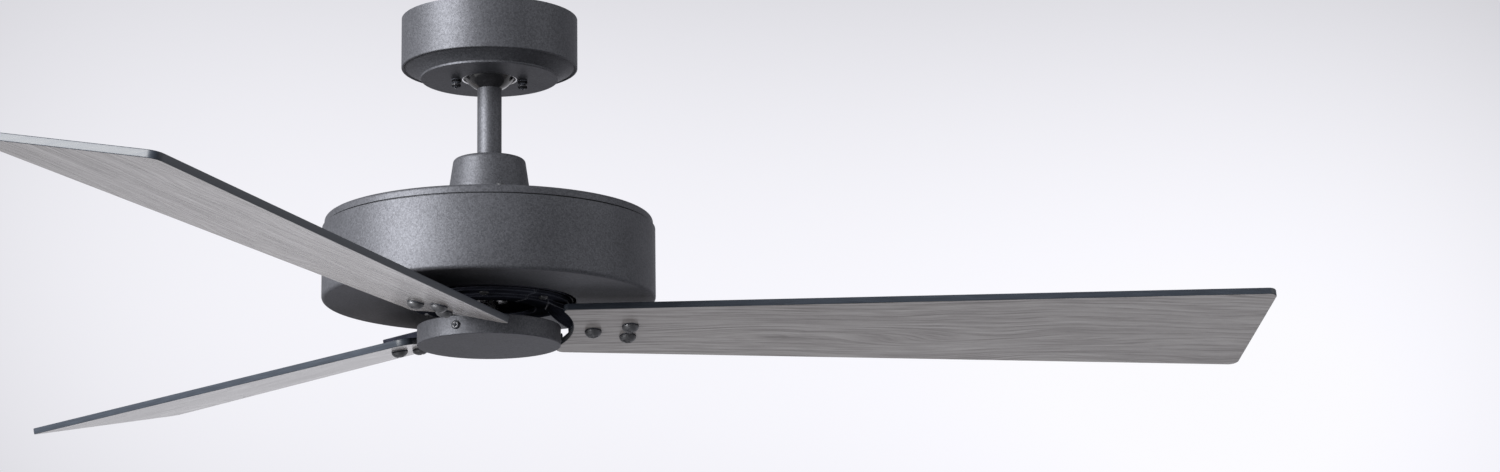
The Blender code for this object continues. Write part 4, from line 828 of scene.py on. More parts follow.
@dataclass
class Palette:
    """Every finish, made into a material once."""

    made: dict[str, bpy.types.Material] = field(default_factory=dict)

    def get(self, name: str, finish: Finish) -> bpy.types.Material:
        """The material of that name, made from the finish the first time."""
        if name not in self.made:
            self.made[name] = finish.material(name + "_look")
        return self.made[name]

    def slot(self, slot: Slot) -> bpy.types.Material:
        """A slot's own material."""
        return self.get(slot.value, SLOT_FINISHES[slot])

    def special(self, *names: str) -> list[bpy.types.Material]:
        """Materials that only some pieces of a slot take."""
        return [self.get(name, SPECIAL_FINISHES[name]) for name in names]


@dataclass
class Assembly:
    """A group of pieces that ride on one body."""

    palette: Palette
    body: str

    def dress(self, piece: bpy.types.Object, slot: Slot, *nodes: str,
              looks: Sequence[bpy.types.Material] = ()) -> bpy.types.Object:
        """Gives a piece its finish and its body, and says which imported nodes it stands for."""
        for look in looks or (self.palette.slot(slot),):
            piece.data.materials.append(look)
        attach(piece, self.body)
        if nodes:
            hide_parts(*nodes)
        LOG.info("%s: %d faces, for %s", piece.name, len(piece.data.polygons), ", ".join(nodes) or "itself")
        return piece

    def fix(self, screw: Screw, piece_name: str, node: str, at: Place, outwards: Place,
            slot: Slot = Slot.SCREW, looks: Sequence[str] = (),
            marked: tuple[float, float] | None = None) -> None:
        """Puts a screw in.

        Args:
            screw: the screw.
            piece_name: the piece's name.
            node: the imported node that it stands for.
            at: the middle of the face that its head stands on.
            outwards: where its head points.
            slot: its slot.
            looks: its two special finishes, or none for the slot's own.
            marked: the shares of the head's height between which it takes the second one.
        """
        piece = screw.piece(piece_name, at, outwards)
        self.dress(piece, slot, node, looks=self.palette.special(*looks))
        if marked:
            screw.mark(piece, at, outwards, *marked)

    def keep(self, slot: Slot, *nodes: str) -> None:
        """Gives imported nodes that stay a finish."""
        for name in nodes:
            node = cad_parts[name]
            node.data.materials.clear()
            node.data.materials.append(self.palette.slot(slot))
            LOG.info("%s: packed node kept, %s", name, slot.value)


# The fan


@dataclass
class CeilingMount(Assembly):
    """The spun canopy, its two screws and the bracket behind it."""

    radius: float = 0.0771
    depth: float = 0.0541
    wall: float = 0.0445
    disc: float = 0.0602
    step: float = 0.0020
    sheet: float = 0.0012
    hole: float = 0.0230
    screw_reach: float = 0.0290
    hole_highlight_band: float = 0.0008

    def profile(self) -> Array:
        """The spun section: wall, hollow shoulder, step, disc and hole, and back along the inside.

        The shoulder starts in a narrow groove behind the wall's edge, and drops by the share of its
        width to the power 1.6.
        """
        face, edge = -self.depth, 0.0011
        top = face + self.step
        share = np.linspace(0.10, 0.98, 16)
        reach = self.radius - edge - self.disc
        start = -self.wall - edge * 0.3
        curve = np.stack([self.radius - edge - reach * share, start + (top - start) * share ** 1.6], axis=1)
        curve[:, 1] += 0.0011 * np.clip((0.34 - share) / 0.24, 0, 1) ** 1.5
        outside = [(self.radius, 0.0, 0.0), (self.radius, start, 0.0010),
                   (self.radius - edge * 1.3, start, 0.0001)]
        outside += plain(curve)
        outside += [(self.disc, top, 0.0003), (self.disc, face, 0.0006), (self.hole, face, 0.0009)]
        inner = curve[::-1] + np.array([0.0, self.sheet * 1.35])
        inner = inner[inner[:, 0] > self.disc + 0.0008]
        inside = [(self.hole, face + self.sheet, 0.0003), (self.disc - self.sheet, face + self.sheet, 0.0006),
                  (self.disc - self.sheet, top + self.sheet * 1.2, 0.0003)]
        inside += plain(inner) + [(self.radius - self.sheet, -self.wall + self.sheet * 0.6, 0.0003),
                                  (self.radius - self.sheet, 0.0, 0.0)]
        return rounded(outside + inside)

    def build(self) -> None:
        """Makes the canopy and its screws, and finishes the bracket."""
        canopy = lathe("canopy_cover", self.profile(), 224)
        self.dress(canopy, Slot.GRAPHITE, "canopy",
                   looks=(self.palette.slot(Slot.GRAPHITE), *self.palette.special("canopy_bare_edge_and_highlight")))
        # Faces in a narrow band round the hole take near-white metal: a bare cut edge that is also a painted
        # highlight on the hole's lip.
        for face in canopy.data.polygons:
            x, y, _ = face.center
            face.material_index = int(math.hypot(x, y) < self.hole + self.hole_highlight_band)
        # Each canopy screw's head is black, with a lighter band round its rim that is a painted highlight.
        for number, side in enumerate((-1, 1), start=1):
            self.fix(CANOPY_SCREW, f"canopy_fixing_{number}", f"canopy_screw_{number}",
                     (side * self.screw_reach, 0.0, -self.depth - FIT), DOWN,
                     looks=("black_screw_and_contact_shade", "painted_highlight_rim"), marked=(0.61, 0.71))
        self.keep(Slot.STEEL, "hanger_bracket")


@dataclass
class Swivel(Assembly):
    """The cross pin that the rod swings on."""

    def build(self) -> None:
        """Finishes the pin."""
        self.keep(Slot.BRIGHT, "hanger_ball_pin")


@dataclass
class Hanger(Assembly):
    """The swivel ball, the rod, and the coupling with its pin and clip."""

    ball_z: float = -0.0396
    ball_radius: float = 0.0254
    ball_top: float = 0.0180
    pin_radius: float = 0.0030
    rod_radius: float = 0.01065
    rod_wall: float = 0.00265
    rod_top: float = -0.0196
    rod_bottom: float = -0.1696
    collar_wall: float = 0.0036
    collar_top: float = -0.1291
    flange_radius: float = 0.0380
    flange_top: float = -0.1824
    flange_under: float = -0.1861
    hub_under: float = -0.1900
    shaft_bore: float = 0.0085
    shaft_top: float = -0.1726
    wire_bore: float = 0.0046
    clevis_z: float = -0.1496
    clip_leg: float = 0.0085
    clip_wire: float = 0.0006

    def cross_hole(self, z: float, radius: float) -> Hole:
        """A pin's hole along X, through all of a round piece of that radius."""
        reach, centre = Vector((radius + OVERSHOOT, 0, 0)), Vector((0, 0, z))
        return centre - reach, centre + reach, self.pin_radius + FIT

    def ball(self) -> bpy.types.Object:
        """The ball: an arc of its section from the flat top round to the rod's bore."""
        bore = self.rod_radius + FIT
        start = math.asin(self.ball_top / self.ball_radius)
        end = -math.acos(bore / self.ball_radius)
        angle = np.linspace(start, end, 72)
        arc = self.ball_radius * np.stack([np.cos(angle), np.sin(angle)], axis=1) + (0.0, self.ball_z)
        profile = rounded(plain(arc) + [(bore, self.ball_z + self.ball_top, 0.0006)])
        return bored(lathe("swivel_ball", profile, 160), [self.cross_hole(self.ball_z, self.ball_radius)])

    def rod(self) -> bpy.types.Object:
        """The tube, with its ends deburred and its two cross holes."""
        inner = self.rod_radius - self.rod_wall
        corners = [(self.rod_radius, self.rod_top, 0.0005), (self.rod_radius, self.rod_bottom, 0.0005),
                   (inner, self.rod_bottom, 0.0003), (inner, self.rod_top, 0.0003)]
        holes = [self.cross_hole(z, self.rod_radius) for z in (self.ball_z, self.clevis_z)]
        return bored(lathe("rod_tube", rounded(corners), 128), holes)

    def coupling(self) -> bpy.types.Object:
        """The cast collar with its flange and hub, its corners eased."""
        bore = self.rod_radius + FIT
        collar = bore + self.collar_wall
        web = self.rod_bottom - FIT
        flange = self.flange_radius
        corners = [(collar, self.collar_top, 0.0010), (collar, self.flange_top, 0.0),
                   (flange, self.flange_top, 0.0006), (flange, self.flange_under, 0.0006),
                   (collar, self.flange_under, 0.0010), (collar, self.hub_under, 0.0006),
                   (self.shaft_bore, self.hub_under, 0.0004), (self.shaft_bore, self.shaft_top, 0.0),
                   (self.wire_bore, self.shaft_top, 0.0), (self.wire_bore, web - 0.0009, 0.0),
                   (self.wire_bore + 0.003, web, 0.0), (bore, web, 0.0), (bore, self.collar_top, 0.0006)]
        return lathe("coupling_collar", rounded(corners), 128)

    def pin(self) -> bpy.types.Object:
        """The clevis pin, with a domed head and a chamfered end."""
        collar = self.rod_radius + FIT + self.collar_wall
        head, end = collar + FIT, -(collar + 0.0070)
        corners = [(0.0, head + 0.0020, 0.0), (0.0048, head + 0.0020, 0.0009), (0.0048, head, 0.0003),
                   (self.pin_radius, head, 0.0), (self.pin_radius, end, 0.0006), (0.0, end, 0.0)]
        place = Matrix.Translation((0, 0, self.clevis_z)) @ Matrix.Rotation(math.pi / 2, 4, "Y")
        return lathe("clevis_pin_turned", rounded(corners, closed=False), 64, closed=False, matrix=place)

    def clip(self) -> bpy.types.Object:
        """The spring clip: a straight leg through the pin, a bow, and a leg that hugs it."""
        x = -(self.rod_radius + FIT + self.collar_wall + 0.0035)
        leg, bow = self.clip_leg, self.pin_radius + self.clip_wire + FIT
        angle = np.linspace(0, math.pi, 17)
        turn = np.stack([bow / 2 * (1 - np.cos(angle)), leg * 0.8 + bow / 2 * np.sin(angle)], axis=1)
        straight = np.stack([np.zeros(8), np.linspace(-leg, leg * 0.72, 8)], axis=1)
        height = np.linspace(leg * 0.7, -leg * 0.8, 24)
        hug = np.stack([bow + self.clip_wire * np.cos(height / leg * 4.0), height], axis=1)
        flat = np.concatenate([straight, turn, hug])
        path = np.stack([np.full(len(flat), x), flat[:, 0], self.clevis_z + flat[:, 1]], axis=1)
        tube = spread_along(path, circle(self.clip_wire, 14))
        return Draft().grid(tube, wrap_columns=True).cap(tube[0]).cap(tube[-1]).piece("spring_clip")

    def build(self) -> None:
        """Makes the ball, rod, coupling, pin and clip, and finishes their set screws."""
        self.dress(self.ball(), Slot.GLOSS_BLACK, "hanger_ball")
        self.dress(self.rod(), Slot.GRAPHITE, "downrod")
        self.dress(self.coupling(), Slot.STEEL, "motor_coupling")
        self.dress(self.pin(), Slot.BRIGHT, "clevis_pin")
        self.dress(self.clip(), Slot.BRIGHT, "clevis_clip")
        self.keep(Slot.STEEL, "ball_set_screw", "coupling_set_screw")


@dataclass
class CouplingCover(Assembly):
    """The tapered bell on the lid."""

    base_z: float = -0.1803
    height: float = 0.0540
    base_radius: float = 0.0392
    top_radius: float = 0.0312
    hole: float = 0.01105
    round: float = 0.0038
    sheet: float = 0.0012

    def build(self) -> None:
        """Makes the bell: a straight taper under a rounded top edge, and the same inside."""
        top = self.base_z + self.height
        slope = (self.base_radius - self.top_radius) / self.height
        inner_top = self.top_radius + slope * self.sheet - self.sheet
        corners = [(self.hole, top, 0.0004), (self.top_radius, top, self.round),
                   (self.base_radius, self.base_z, 0.0004),
                   (self.base_radius - self.sheet, self.base_z, 0.0003),
                   (inner_top, top - self.sheet, self.round - self.sheet),
                   (self.hole, top - self.sheet, 0.0003)]
        bell = lathe("coupling_bell_cover", rounded(corners, steps=10), 192)
        self.dress(bell, Slot.GRAPHITE, "coupling_cover")


@dataclass
class Drum(Assembly):
    """The motor housing: lid over shell, with the seam between them, and the screws on top."""

    radius: float = 0.1443
    lid_radius: float = 0.1423
    lid_top: float = -0.1806
    lid_height: float = 0.0070
    lid_sheet: float = 0.0015
    seam: float = 0.0012
    height: float = 0.0638
    sheet: float = 0.0012
    opening: float = 0.0755
    lip: float = 0.0022
    ledge: float = 0.0146
    lid_hole: float = 0.01495
    lid_screw_reach: float = 0.0270
    rim_screw_reach: float = 0.1330

    def lid(self) -> bpy.types.Object:
        """The pressed lid: a flat top, a rounded shoulder and a short skirt."""
        skirt = self.lid_radius - self.sheet - FIT * 0.5
        under, low = self.lid_top - self.lid_sheet, self.lid_top - self.lid_height
        corners = [(self.lid_hole, self.lid_top, 0.0004), (self.lid_radius, self.lid_top, 0.0030),
                   (self.lid_radius, low, 0.0003), (skirt, low, 0.0003), (skirt, under, 0.0006),
                   (self.lid_hole, under, 0.0003)]
        return lathe("drum_lid", rounded(corners, steps=10), 256)

    def shell(self) -> bpy.types.Object:
        """The drum: the ledge under the lid, the wall, the flat bottom and the lip round its opening."""
        sheet = self.sheet
        joggle = self.lid_radius - sheet - FIT * 1.5
        ledge = self.lid_top - self.lid_sheet - FIT
        shoulder = self.lid_top - self.lid_height - self.seam
        bottom = shoulder - self.height
        floor, lip = bottom + sheet, self.opening + sheet
        corners = [(joggle - self.ledge, ledge, 0.0003), (joggle, ledge, 0.0004), (joggle, shoulder, 0.0),
                   (self.radius, shoulder, 0.0008), (self.radius, bottom, 0.0034),
                   (self.opening, bottom, 0.0007), (self.opening, bottom + self.lip, 0.0004),
                   (lip, bottom + self.lip, 0.0004), (lip, floor, 0.0004),
                   (self.radius - sheet, floor, 0.0022), (self.radius - sheet, shoulder - sheet, 0.0004),
                   (joggle - sheet, shoulder - sheet, 0.0003), (joggle - sheet, ledge - sheet, 0.0003),
                   (joggle - self.ledge, ledge - sheet, 0.0003)]
        return lathe("drum_shell", rounded(corners, steps=8), 256)

    def build(self) -> None:
        """Makes lid, shell and screws."""
        self.dress(self.lid(), Slot.GRAPHITE, "housing_lid")
        self.dress(self.shell(), Slot.GRAPHITE, "housing_shell")
        top = self.lid_top + FIT
        for number in range(3):
            name = number + 1
            inner = around(self.lid_screw_reach, math.radians(90) + THIRD * number, top)
            self.fix(replace(SMALL_SCREW, turn=0.3 + number), f"lid_fixing_{name}", f"lid_screw_{name}",
                     inner, UP, Slot.STEEL)
            outer = around(self.rim_screw_reach, math.radians(30) + THIRD * number, top)
            self.fix(replace(SMALL_SCREW, length=0.0057, turn=0.7 * number), f"rim_fixing_{name}",
                     f"housing_screw_{name}", outer, UP)


@dataclass
class MotorInside(Assembly):
    """The fixed half of the motor, sealed in the drum."""

    def build(self) -> None:
        """Finishes shaft, laminations, windings, board, bearings, plate, nut and lead."""
        self.keep(Slot.BRIGHT, "motor_shaft", "upper_bearing", "lower_bearing")
        self.keep(Slot.STEEL, "stator_core", "shaft_nut")
        self.keep(Slot.IRON, "cup_plate")
        self.keep(Slot.COPPER, "winding_upper", "winding_lower")
        self.keep(Slot.BOARD, "driver_board")
        self.keep(Slot.LEAD, "motor_lead")
        self.keep(Slot.PLUG, "lead_plug")


@dataclass
class Rotor(Assembly):
    """The turning motor shells and the magnets between them."""

    radius: float = 0.0980
    wall: float = 0.0022
    plate: float = 0.0030
    hub_radius: float = 0.0730
    hub_step: float = 0.0037
    bottom: float = -0.2525
    split: float = -0.2233
    seat: float = 0.0204
    boss_wall: float = 0.0037
    bearing_lip: float = 0.0150
    lip: float = 0.0009
    bearing: float = 0.0120
    round: float = 0.0060

    def base(self) -> bpy.types.Object:
        """The lower shell: hub face, step, rounded rim and wall, and the bearing's seat inside."""
        inner, boss = self.radius - self.wall, self.seat + self.boss_wall
        rim, inside = self.bottom + self.hub_step, self.bottom + self.plate
        lip_top = self.bottom + self.lip
        seat_top = lip_top + FIT + self.bearing
        hub = self.hub_radius - self.plate
        corners = [(self.radius, self.split, 0.0003), (self.radius, rim, self.round),
                   (self.hub_radius, rim, 0.0008), (self.hub_radius, self.bottom, 0.0008),
                   (self.bearing_lip, self.bottom, 0.0003), (self.bearing_lip, lip_top, 0.0),
                   (self.seat, lip_top, 0.0), (self.seat, seat_top, 0.0003), (boss, seat_top, 0.0006),
                   (boss, inside, 0.0010), (hub, inside, 0.0006), (hub, rim + self.plate, 0.0006),
                   (inner, rim + self.plate, 0.0040), (inner, self.split, 0.0003)]
        return lathe("rotor_lower_shell", rounded(corners), 192)

    def build(self) -> None:
        """Makes the lower shell, and finishes the upper one and the magnets."""
        self.dress(self.base(), Slot.CASTING, "rotor_base")
        self.keep(Slot.CASTING, "rotor_cover")
        self.keep(Slot.MAGNET, "magnet_ring")


@dataclass
class Blades(Assembly):
    """The three blades with their irons and screws."""

    plane: float = -0.2773
    rise: float = math.radians(0.9)
    pitch: float = math.radians(11.9)
    root_radius: float = 0.0730
    root_width: float = 0.0954
    root_width_reach: float = 0.0600
    tip_reach: float = 0.6860
    tip_width: float = 0.1651
    thickness: float = 0.0060
    shift: float = 0.0036
    rake: float = math.radians(2.0)
    tip_round: float = 0.0080
    root_rounds: tuple[float, float] = (0.0090, 0.0040)
    edge: float = 0.0007
    inner_screw: float = 0.0905
    outer_screw: float = 0.1218
    screw_spread: float = 0.0112
    screw_shift: float = 0.0024
    pad_start: float = 0.0735
    pad_end: float = 0.1385
    pad_half: float = 0.0210
    pad_thickness: float = 0.0060
    pad_floor: float = 0.0032
    rim: float = 0.0026
    pad_round: float = 0.0060
    cast_edge: float = 0.0008
    ring_low: float = -0.2593
    flange_low: float = -0.2561
    iron_top: float = -0.2528
    ring_thickness: float = 0.0040
    ring_outer: float = 0.0700
    ring_step: float = 0.0575
    ring_inner: float = 0.0400
    saw_cut: float = 0.0005
    ribs: int = 4
    rib_height: float = 0.0011
    screw_angles: tuple[float, float] = (math.radians(-47.0), math.radians(22.0))
    iron_screw_reach: float = 0.0630

    def frame_of(self, number: int) -> Matrix:
        """The frame of a blade: its underside is z = 0 and its length is x."""
        return (Matrix.Rotation(THIRD * number, 4, "Z") @ Matrix.Translation((0, 0, self.plane))
                @ Matrix.Rotation(-self.rise, 4, "Y") @ Matrix.Rotation(-self.pitch, 4, "X"))

    def side(self, reach: float, sign: int) -> tuple[float, float]:
        """A point on one of the long edges, whose distance grows evenly towards the tip."""
        share = (reach - self.root_width_reach) / (self.tip_reach - self.root_width_reach)
        return (reach, self.shift + sign * (self.root_width + (self.tip_width - self.root_width) * share) / 2)

    def root_corner(self, sign: int, radius: float) -> Array:
        """The round between the root's arc and a long edge, from the root outwards.

        Its centre lies a radius inside the edge, and its distance from the axis is the root's radius
        and its own together.
        """
        base = np.array(self.side(0.0, sign))
        along = np.array(self.side(1.0, sign)) - base
        along /= np.linalg.norm(along)
        inwards = sign * np.array([along[1], -along[0]])
        line = base + inwards * radius
        slant = line @ along
        reach = self.root_radius + radius
        centre = line + along * (math.sqrt(slant ** 2 - line @ line + reach ** 2) - slant)
        first = math.atan2(-centre[1], -centre[0])
        sweep = (math.atan2(-inwards[1], -inwards[0]) - first + math.pi) % math.tau - math.pi
        angle = first + sweep * np.linspace(0, 1, 13)
        return centre + radius * np.stack([np.cos(angle), np.sin(angle)], axis=1)

    def outline(self) -> Array:
        """Anticlockwise: the root's arc round the axis, the near edge, the raked tip and the far edge."""
        left, right = (self.root_corner(sign, radius) for sign, radius in zip((1, -1), self.root_rounds))
        angle = np.linspace(*(math.atan2(end[0, 1], end[0, 0]) for end in (left, right)), 45)[1:-1]
        root = self.root_radius * np.stack([np.cos(angle), np.sin(angle)], axis=1)
        rake = math.tan(self.rake) * self.tip_width / 2
        corners = plain(np.concatenate([left[::-1], root, right]))
        reaches = np.linspace(0.10, 0.64, 19)
        for sign, order in ((-1, reaches), (1, reaches[::-1])):
            side = [(*self.side(float(r), sign), 0.0) for r in order]
            tip = (*self.side(self.tip_reach + sign * rake, sign), self.tip_round)
            corners += side + [tip] if sign == -1 else [tip] + side
        return rounded(corners, steps=10, ease=0.002)

    def blade(self, name: str, matrix: Matrix) -> bpy.types.Object:
        """A plank with small rounds along its edges, its faces in wood and its edge banded."""
        outline = self.outline()
        angle = np.linspace(0, math.pi / 2, 5)
        low = np.stack([self.edge * (1 - np.sin(angle)), self.edge * (1 - np.cos(angle))], axis=1)
        high = np.stack([low[::-1, 0], self.thickness - low[::-1, 1]], axis=1)
        flat = self.edge + 0.0006
        section = np.concatenate([[[flat, 0.0]], low, high, [[flat, self.thickness]]])
        spine = np.stack([np.clip(outline[:, 0], 0.10, 0.62), np.full(len(outline), self.shift)], axis=1)
        grid = moulded(outline, section, spine)
        slots = np.ones(len(grid) - 1)
        slots[:4] = slots[-4:] = 0
        return Draft().grid(grid, wrap_columns=True, row_slots=slots).piece(name, matrix)

    def pad(self, draft: Draft, place: Array, shift: Array) -> None:
        """The iron's plate on the blade: hollow end to the axis, and a rim round its upper face."""
        spread = math.asin(self.pad_half / self.pad_start)
        angle = np.linspace(spread, -spread, 17)
        start = plain(self.pad_start * np.stack([np.cos(angle), np.sin(angle)], axis=1))
        start[0], start[-1] = (*start[0][:2], 0.0008), (*start[-1][:2], 0.0008)
        end = self.pad_end
        corners = start + [(end, -self.pad_half, self.pad_round), (end, self.pad_half, self.pad_round)]
        outline = rounded(corners, steps=8)
        low, high = self.thickness + FIT, self.thickness + FIT + self.pad_thickness
        floor, e = low + self.pad_floor, self.cast_edge
        section = rounded([(0.004, low, 0.0), (0.0, low, e), (0.0, high, e), (self.rim, high, e),
                           (self.rim + 0.0006, floor, 0.0003), (0.006, floor, 0.0)], closed=False, steps=4)
        spine = np.stack([np.clip(outline[:, 0], 0.092, 0.112), np.zeros(len(outline))], axis=1)
        draft.grid(moulded(outline, section, spine) @ place.T + shift, wrap_columns=True)

    def neck(self, draft: Draft, place: Array, shift: Array) -> None:
        """The swept arm from the ring to the pad.

        Its section is a ribbed bar between a right and a left edge. Both edges, and its lower and upper
        face, run through three stations on a quadratic curve. Its underside carries four ribs, the
        height of a raised cosine across it.
        """
        def station(x: float, sides: tuple[float, float], heights: tuple[float, float]) -> Array:
            """The bar's lower right, lower left, upper right and upper left corners."""
            return np.array([(x, side, height) for height in heights for side in sides])

        sunk = 0.0004
        low = self.thickness + FIT + sunk
        high = self.thickness + FIT + self.pad_thickness - sunk
        ring = (self.ring_low + sunk, self.ring_low + self.ring_thickness - sunk)
        stations = [
            station(0.0480, (-0.0340, -0.0060), ring),
            station(0.0600, (-0.0280, 0.0020), (0.0085, 0.0130)) @ place.T + shift,
            station(0.0770, (-0.0195, 0.0195), (low, high)) @ place.T + shift,
        ]
        t = np.linspace(0, 1, 25)[:, None, None]
        middle = 0.45
        weights = [(t - middle) * (t - 1) / middle, t * (t - 1) / (middle * (middle - 1)),
                   t * (t - middle) / (1 - middle)]
        path = sum(w * s[None] for w, s in zip(weights, stations))
        across = np.linspace(0, 1, 33)[None, :, None]
        under = path[:, 0:1] * (1 - across) + path[:, 1:2] * across
        over = path[:, 2:3] * (1 - across) + path[:, 3:4] * across
        wave = 0.5 - 0.5 * np.cos(math.tau * self.ribs * across)
        rib = self.rib_height * wave * np.sin(math.pi * np.clip(t, 0.04, 1)) ** 0.3
        under = under + (over - under) * rib / 0.0045
        draft.grid(np.concatenate([under, over[:, ::-1]], axis=1), wrap_columns=True)
        for k in (0, -1):
            draft.cap(np.concatenate([under[k], over[k, ::-1]]))

    def ring(self, draft: Draft) -> None:
        """The stepped third of a ring under the rotor, cut square at both ends."""
        low, high = self.ring_low, self.ring_low + self.ring_thickness
        outer, step = self.ring_outer, self.ring_step
        corners = [(outer, self.iron_top, 0.0004), (outer, self.flange_low, 0.0008),
                   (step, self.flange_low, 0.0006), (step, low, 0.0009),
                   (self.ring_inner, low, 0.0009), (self.ring_inner, high, 0.0006),
                   (step - 0.0020, high, 0.0), (step - 0.0020, self.iron_top, 0.0003)]
        profile = rounded(corners, steps=4)
        half = math.pi / 3 - np.arcsin(self.saw_cut / profile[:, 0])
        grid = swept_round(profile, -half, half, 72)
        draft.grid(grid, wrap_columns=True).cap(grid[0]).cap(grid[-1])

    def iron(self, number: int) -> bpy.types.Object:
        """A blade's iron: ring, neck and pad."""
        draft = Draft()
        local = np.array(self.frame_of(0))
        self.ring(draft)
        self.neck(draft, local[:3, :3], local[:3, 3])
        self.pad(draft, local[:3, :3], local[:3, 3])
        return draft.piece(f"iron_casting_{number + 1}", Matrix.Rotation(THIRD * number, 4, "Z"))

    def build(self) -> None:
        """Makes the blades, each with its own cut of wood, the irons and all their screws."""
        shift, spread = self.screw_shift, self.screw_spread
        places = [(self.inner_screw, shift), (self.outer_screw, shift - spread),
                  (self.outer_screw, shift + spread)]
        for number in range(3):
            name = number + 1
            matrix = self.frame_of(number)
            grain = WeatheredWood(turn=THIRD * number, cut=3.7 * number + 0.4)
            wood = self.palette.get(f"blade_wood_{name}", grain)
            self.dress(self.blade(f"blade_plank_{name}", matrix), Slot.WOOD, f"blade_{name}",
                       looks=(wood, *self.palette.special("blade_edge")))
            self.dress(self.iron(number), Slot.IRON, f"blade_iron_{name}")
            down = (matrix.to_3x3() @ Vector(DOWN))[:]
            for k, (x, y) in enumerate(places, start=1):
                # The foot of each blade screw's head is black: painted shade where the head meets the blade's
                # underside.
                self.fix(replace(BLADE_SCREW, turn=0.4 * k + number), f"blade_fixing_{name}_{k}",
                         f"blade_screw_{name}_{k}", matrix @ Vector((x, y, -FIT)), down,
                         looks=("zinc_screw", "black_screw_and_contact_shade"), marked=(-0.1, 0.17))
            for k, angle in enumerate(self.screw_angles, start=1):
                self.fix(replace(SMALL_SCREW, length=0.0069, turn=0.9 * k), f"iron_fixing_{name}_{k}",
                         f"iron_screw_{name}_{k}",
                         around(self.iron_screw_reach, THIRD * number + angle, self.flange_low - FIT), DOWN)


@dataclass
class BottomCup(Assembly):
    """The shallow cup under the blades and the screws in its side."""

    radius: float = 0.0620
    top: float = -0.2749
    bottom: float = -0.2917
    sheet: float = 0.0012
    screw_z: float = -0.2833
    screw_turn: float = math.radians(-1.0)

    def build(self) -> None:
        """Makes the cup and its screws."""
        inner, floor = self.radius - self.sheet, self.bottom + self.sheet
        corners = [(0.0, floor, 0.0), (inner, floor, 0.0006), (inner, self.top, 0.0003),
                   (self.radius, self.top, 0.0005), (self.radius, self.bottom, 0.0009),
                   (0.0, self.bottom, 0.0)]
        cup = lathe("cup_spun", rounded(corners, closed=False, steps=8), 192, closed=False)
        self.dress(cup, Slot.GRAPHITE, "bottom_cup")
        for number in range(3):
            angle = self.screw_turn + THIRD * number
            self.fix(CUP_SCREW, f"cup_fixing_{number + 1}", f"cup_screw_{number + 1}",
                     around(self.radius + FIT, angle, self.screw_z), around(1.0, angle, 0.0),
                     looks=("black_cup_screw", "worn_land"), marked=(0.97, 1.1))


# The studio


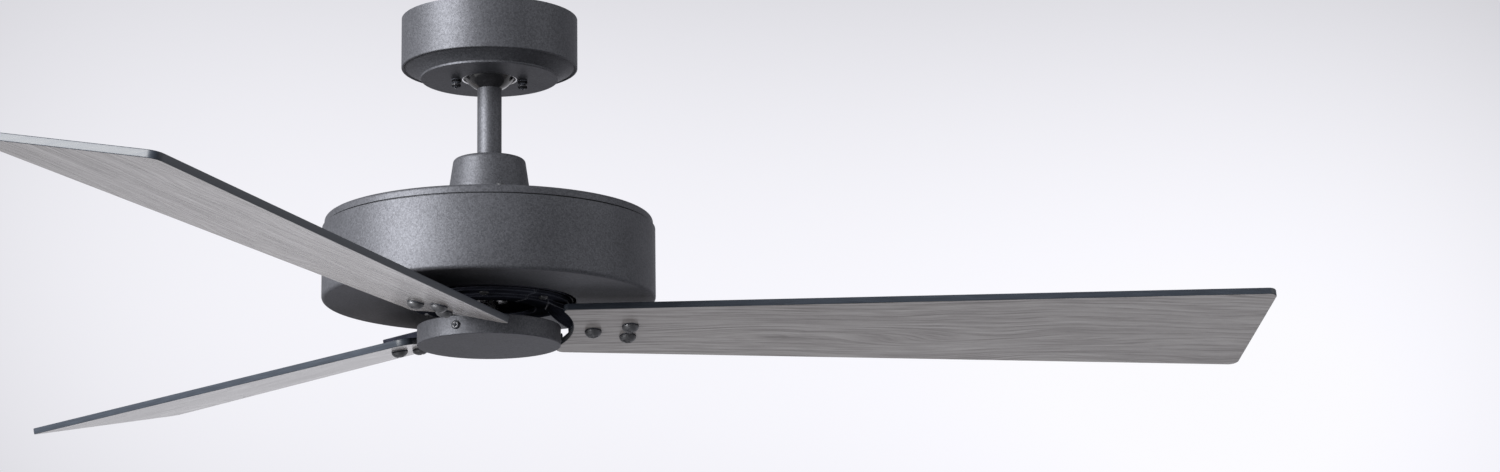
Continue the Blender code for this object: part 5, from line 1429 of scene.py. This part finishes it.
@dataclass
class Studio:
    """The camera, the lamps, the pale background and the floor."""

    focal: float = 85.303
    pitch: float = math.radians(12.2859)
    roll: float = math.radians(0.798)
    heading: float = math.radians(-8.334)
    place: tuple[float, float, float] = (-0.2131, -3.0177, -0.8544)
    aim: tuple[float, float, float] = (0.0, 0.0, -0.2)
    floor_z: float = -2.4
    floor_radius: float = 9.0
    floor_dip: float = 0.0005
    lens_reach: float = 4.74

    def axes(self) -> tuple[Vector, Vector, Vector]:
        """The camera's right, up and forward directions."""
        spin = Matrix.Rotation(self.heading, 3, "Z")
        forward = Vector((0, math.cos(self.pitch), math.sin(self.pitch)))
        upright = Vector((0, -math.sin(self.pitch), math.cos(self.pitch)))
        across = Vector((1, 0, 0))
        right = across * math.cos(self.roll) - upright * math.sin(self.roll)
        up = across * math.sin(self.roll) + upright * math.cos(self.roll)
        return spin @ right, spin @ up, spin @ forward

    def camera(self) -> None:
        """Sets up the photograph's viewpoint."""
        right, up, forward = self.axes()
        lens = bpy.data.cameras.new("view")
        lens.lens, lens.sensor_width, lens.sensor_fit = self.focal, 36.0, "HORIZONTAL"
        lens.clip_end = 60.0
        made = bpy.data.objects.new("view", lens)
        bpy.context.scene.collection.objects.link(made)
        turn = Matrix((right, up, -forward)).transposed().to_4x4()
        made.matrix_world = Matrix.Translation(self.place) @ turn
        bpy.context.scene.camera = made

    def lamp(self, name: str, at: Place, size: tuple[float, float], power: float) -> None:
        """A soft box that faces the fan."""
        light = bpy.data.lights.new(name, "AREA")
        light.shape, light.size, light.size_y = "RECTANGLE", *size
        light.energy = power
        made = bpy.data.objects.new(name, light)
        made.visible_camera = False
        bpy.context.scene.collection.objects.link(made)
        turn = (Vector(self.aim) - Vector(at)).to_track_quat("-Z", "Y").to_matrix().to_4x4()
        made.matrix_world = Matrix.Translation(at) @ turn

    def world(self) -> None:
        """A grey room that lights the fan, and the pale background that is seen and reflected.

        The background's level over the place in the view, u to the right and v up as shares of half its
        width, is a plane less a bowl in each direction.
        """
        world = bpy.data.worlds.new("room")
        bpy.context.scene.world = world
        world.use_nodes = True
        b = Bench(world.node_tree)
        right, up, forward = self.axes()
        look = b.put("ShaderNodeTexCoord", output="Generated")

        u = (b.dot(look, right[:]) * self.lens_reach).most(-1.3).least(1.3)
        v = (b.dot(look, up[:]) * self.lens_reach).most(-0.45).least(0.45)
        plane = 0.967 + 0.016 * u - 0.141 * v
        bowl = 0.047 * (u * u) - 0.463 * (v * v) - 0.092 * (u * v)
        level = plane + bowl + 0.017 * (u * u * v) - 0.093 * (u * u * u * u)
        grey = level.least(0.995) ** 2.2
        blue = (grey * 1.035).least(1.0)
        pale = b.put("ShaderNodeCombineColor", {}, {0: grey * 0.985, 1: grey * 0.980, 2: blue})
        ahead = b.spread(b.dot(look, forward[:]), -0.55, 0.35, 0.34)
        above = b.spread(b.dot(look, UP), -0.75, -0.30, 0.45)
        mirrored = b.blend(1.0, pale, b.grey(ahead * above), "MULTIPLY")
        path = b.put("ShaderNodeLightPath", output="Is Camera Ray")
        glossy = path.other("Is Glossy Ray").most(path.other("Is Transmission Ray"))
        light = b.blend(glossy, (0.38, 0.38, 0.39), mirrored)
        colour = b.blend(path, light, pale)
        back = b.put("ShaderNodeBackground", {}, {"Color": colour, "Strength": 1.0})
        b.put("ShaderNodeOutputWorld", {}, {"Surface": back})

    def floor(self) -> None:
        """A plain pale floor well below the fan, which dips a little towards its rim.

        Its faces point down and their backs are clear, so that the room lights the fan from below. The
        camera doesn't see it, so that it hides nothing in a view from below.
        """
        radius = np.linspace(0, self.floor_radius, 10)
        profile = np.stack([radius, self.floor_z - self.floor_dip * radius ** 2], axis=1)
        made = lathe("floor", profile, 64, closed=False)
        made.visible_glossy = False
        made.visible_camera = False
        look, b = bench_for("floor_look")
        cloud = b.noise(b.place(), 0.8, 3.0)
        base = b.blend(cloud, (0.80, 0.80, 0.81), (0.76, 0.76, 0.77))
        paint = b.put("ShaderNodeBsdfPrincipled", {}, {"Base Color": base, "Roughness": 0.7})
        behind = b.put("ShaderNodeNewGeometry", output="Backfacing")
        clear = b.put("ShaderNodeBsdfTransparent")
        both = b.put("ShaderNodeMixShader", {}, {0: behind, 1: paint, 2: clear})
        b.put("ShaderNodeOutputMaterial", {}, {"Surface": both})
        made.data.materials.append(look)

    def build(self) -> None:
        """Sets up everything round the fan."""
        self.camera()
        self.world()
        self.floor()
        self.lamp("key", (-3.06, -1.70, 0.50), (2.3, 2.7), 400.0)
        self.lamp("under", (-1.5, -0.9, -2.0), (2.8, 2.8), 16.0)
        self.lamp("fill", (3.0, -1.3, 0.9), (2.4, 2.0), 24.0)
        self.lamp("rim", (2.6, 1.4, 0.3), (1.2, 1.2), 1.0)
        bpy.context.scene.view_settings.view_transform = "Standard"


def main() -> None:
    """Builds the studio, then the fan from the ceiling down."""
    logging.basicConfig(level=logging.INFO, format="%(name)s %(message)s")
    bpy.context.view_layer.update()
    palette = Palette()
    Studio().build()
    assemblies: list[Any] = [
        CeilingMount(palette, "ceiling_part"),
        Swivel(palette, "swivel"),
        Hanger(palette, "hanging_part"),
        CouplingCover(palette, "coupling_bell"),
        Drum(palette, "hanging_part"),
        MotorInside(palette, "hanging_part"),
        Rotor(palette, "rotor"),
        Blades(palette, "rotor"),
        BottomCup(palette, "hanging_part"),
    ]
    for assembly in assemblies:
        assembly.build()


if __name__ == "__main__":
    main()
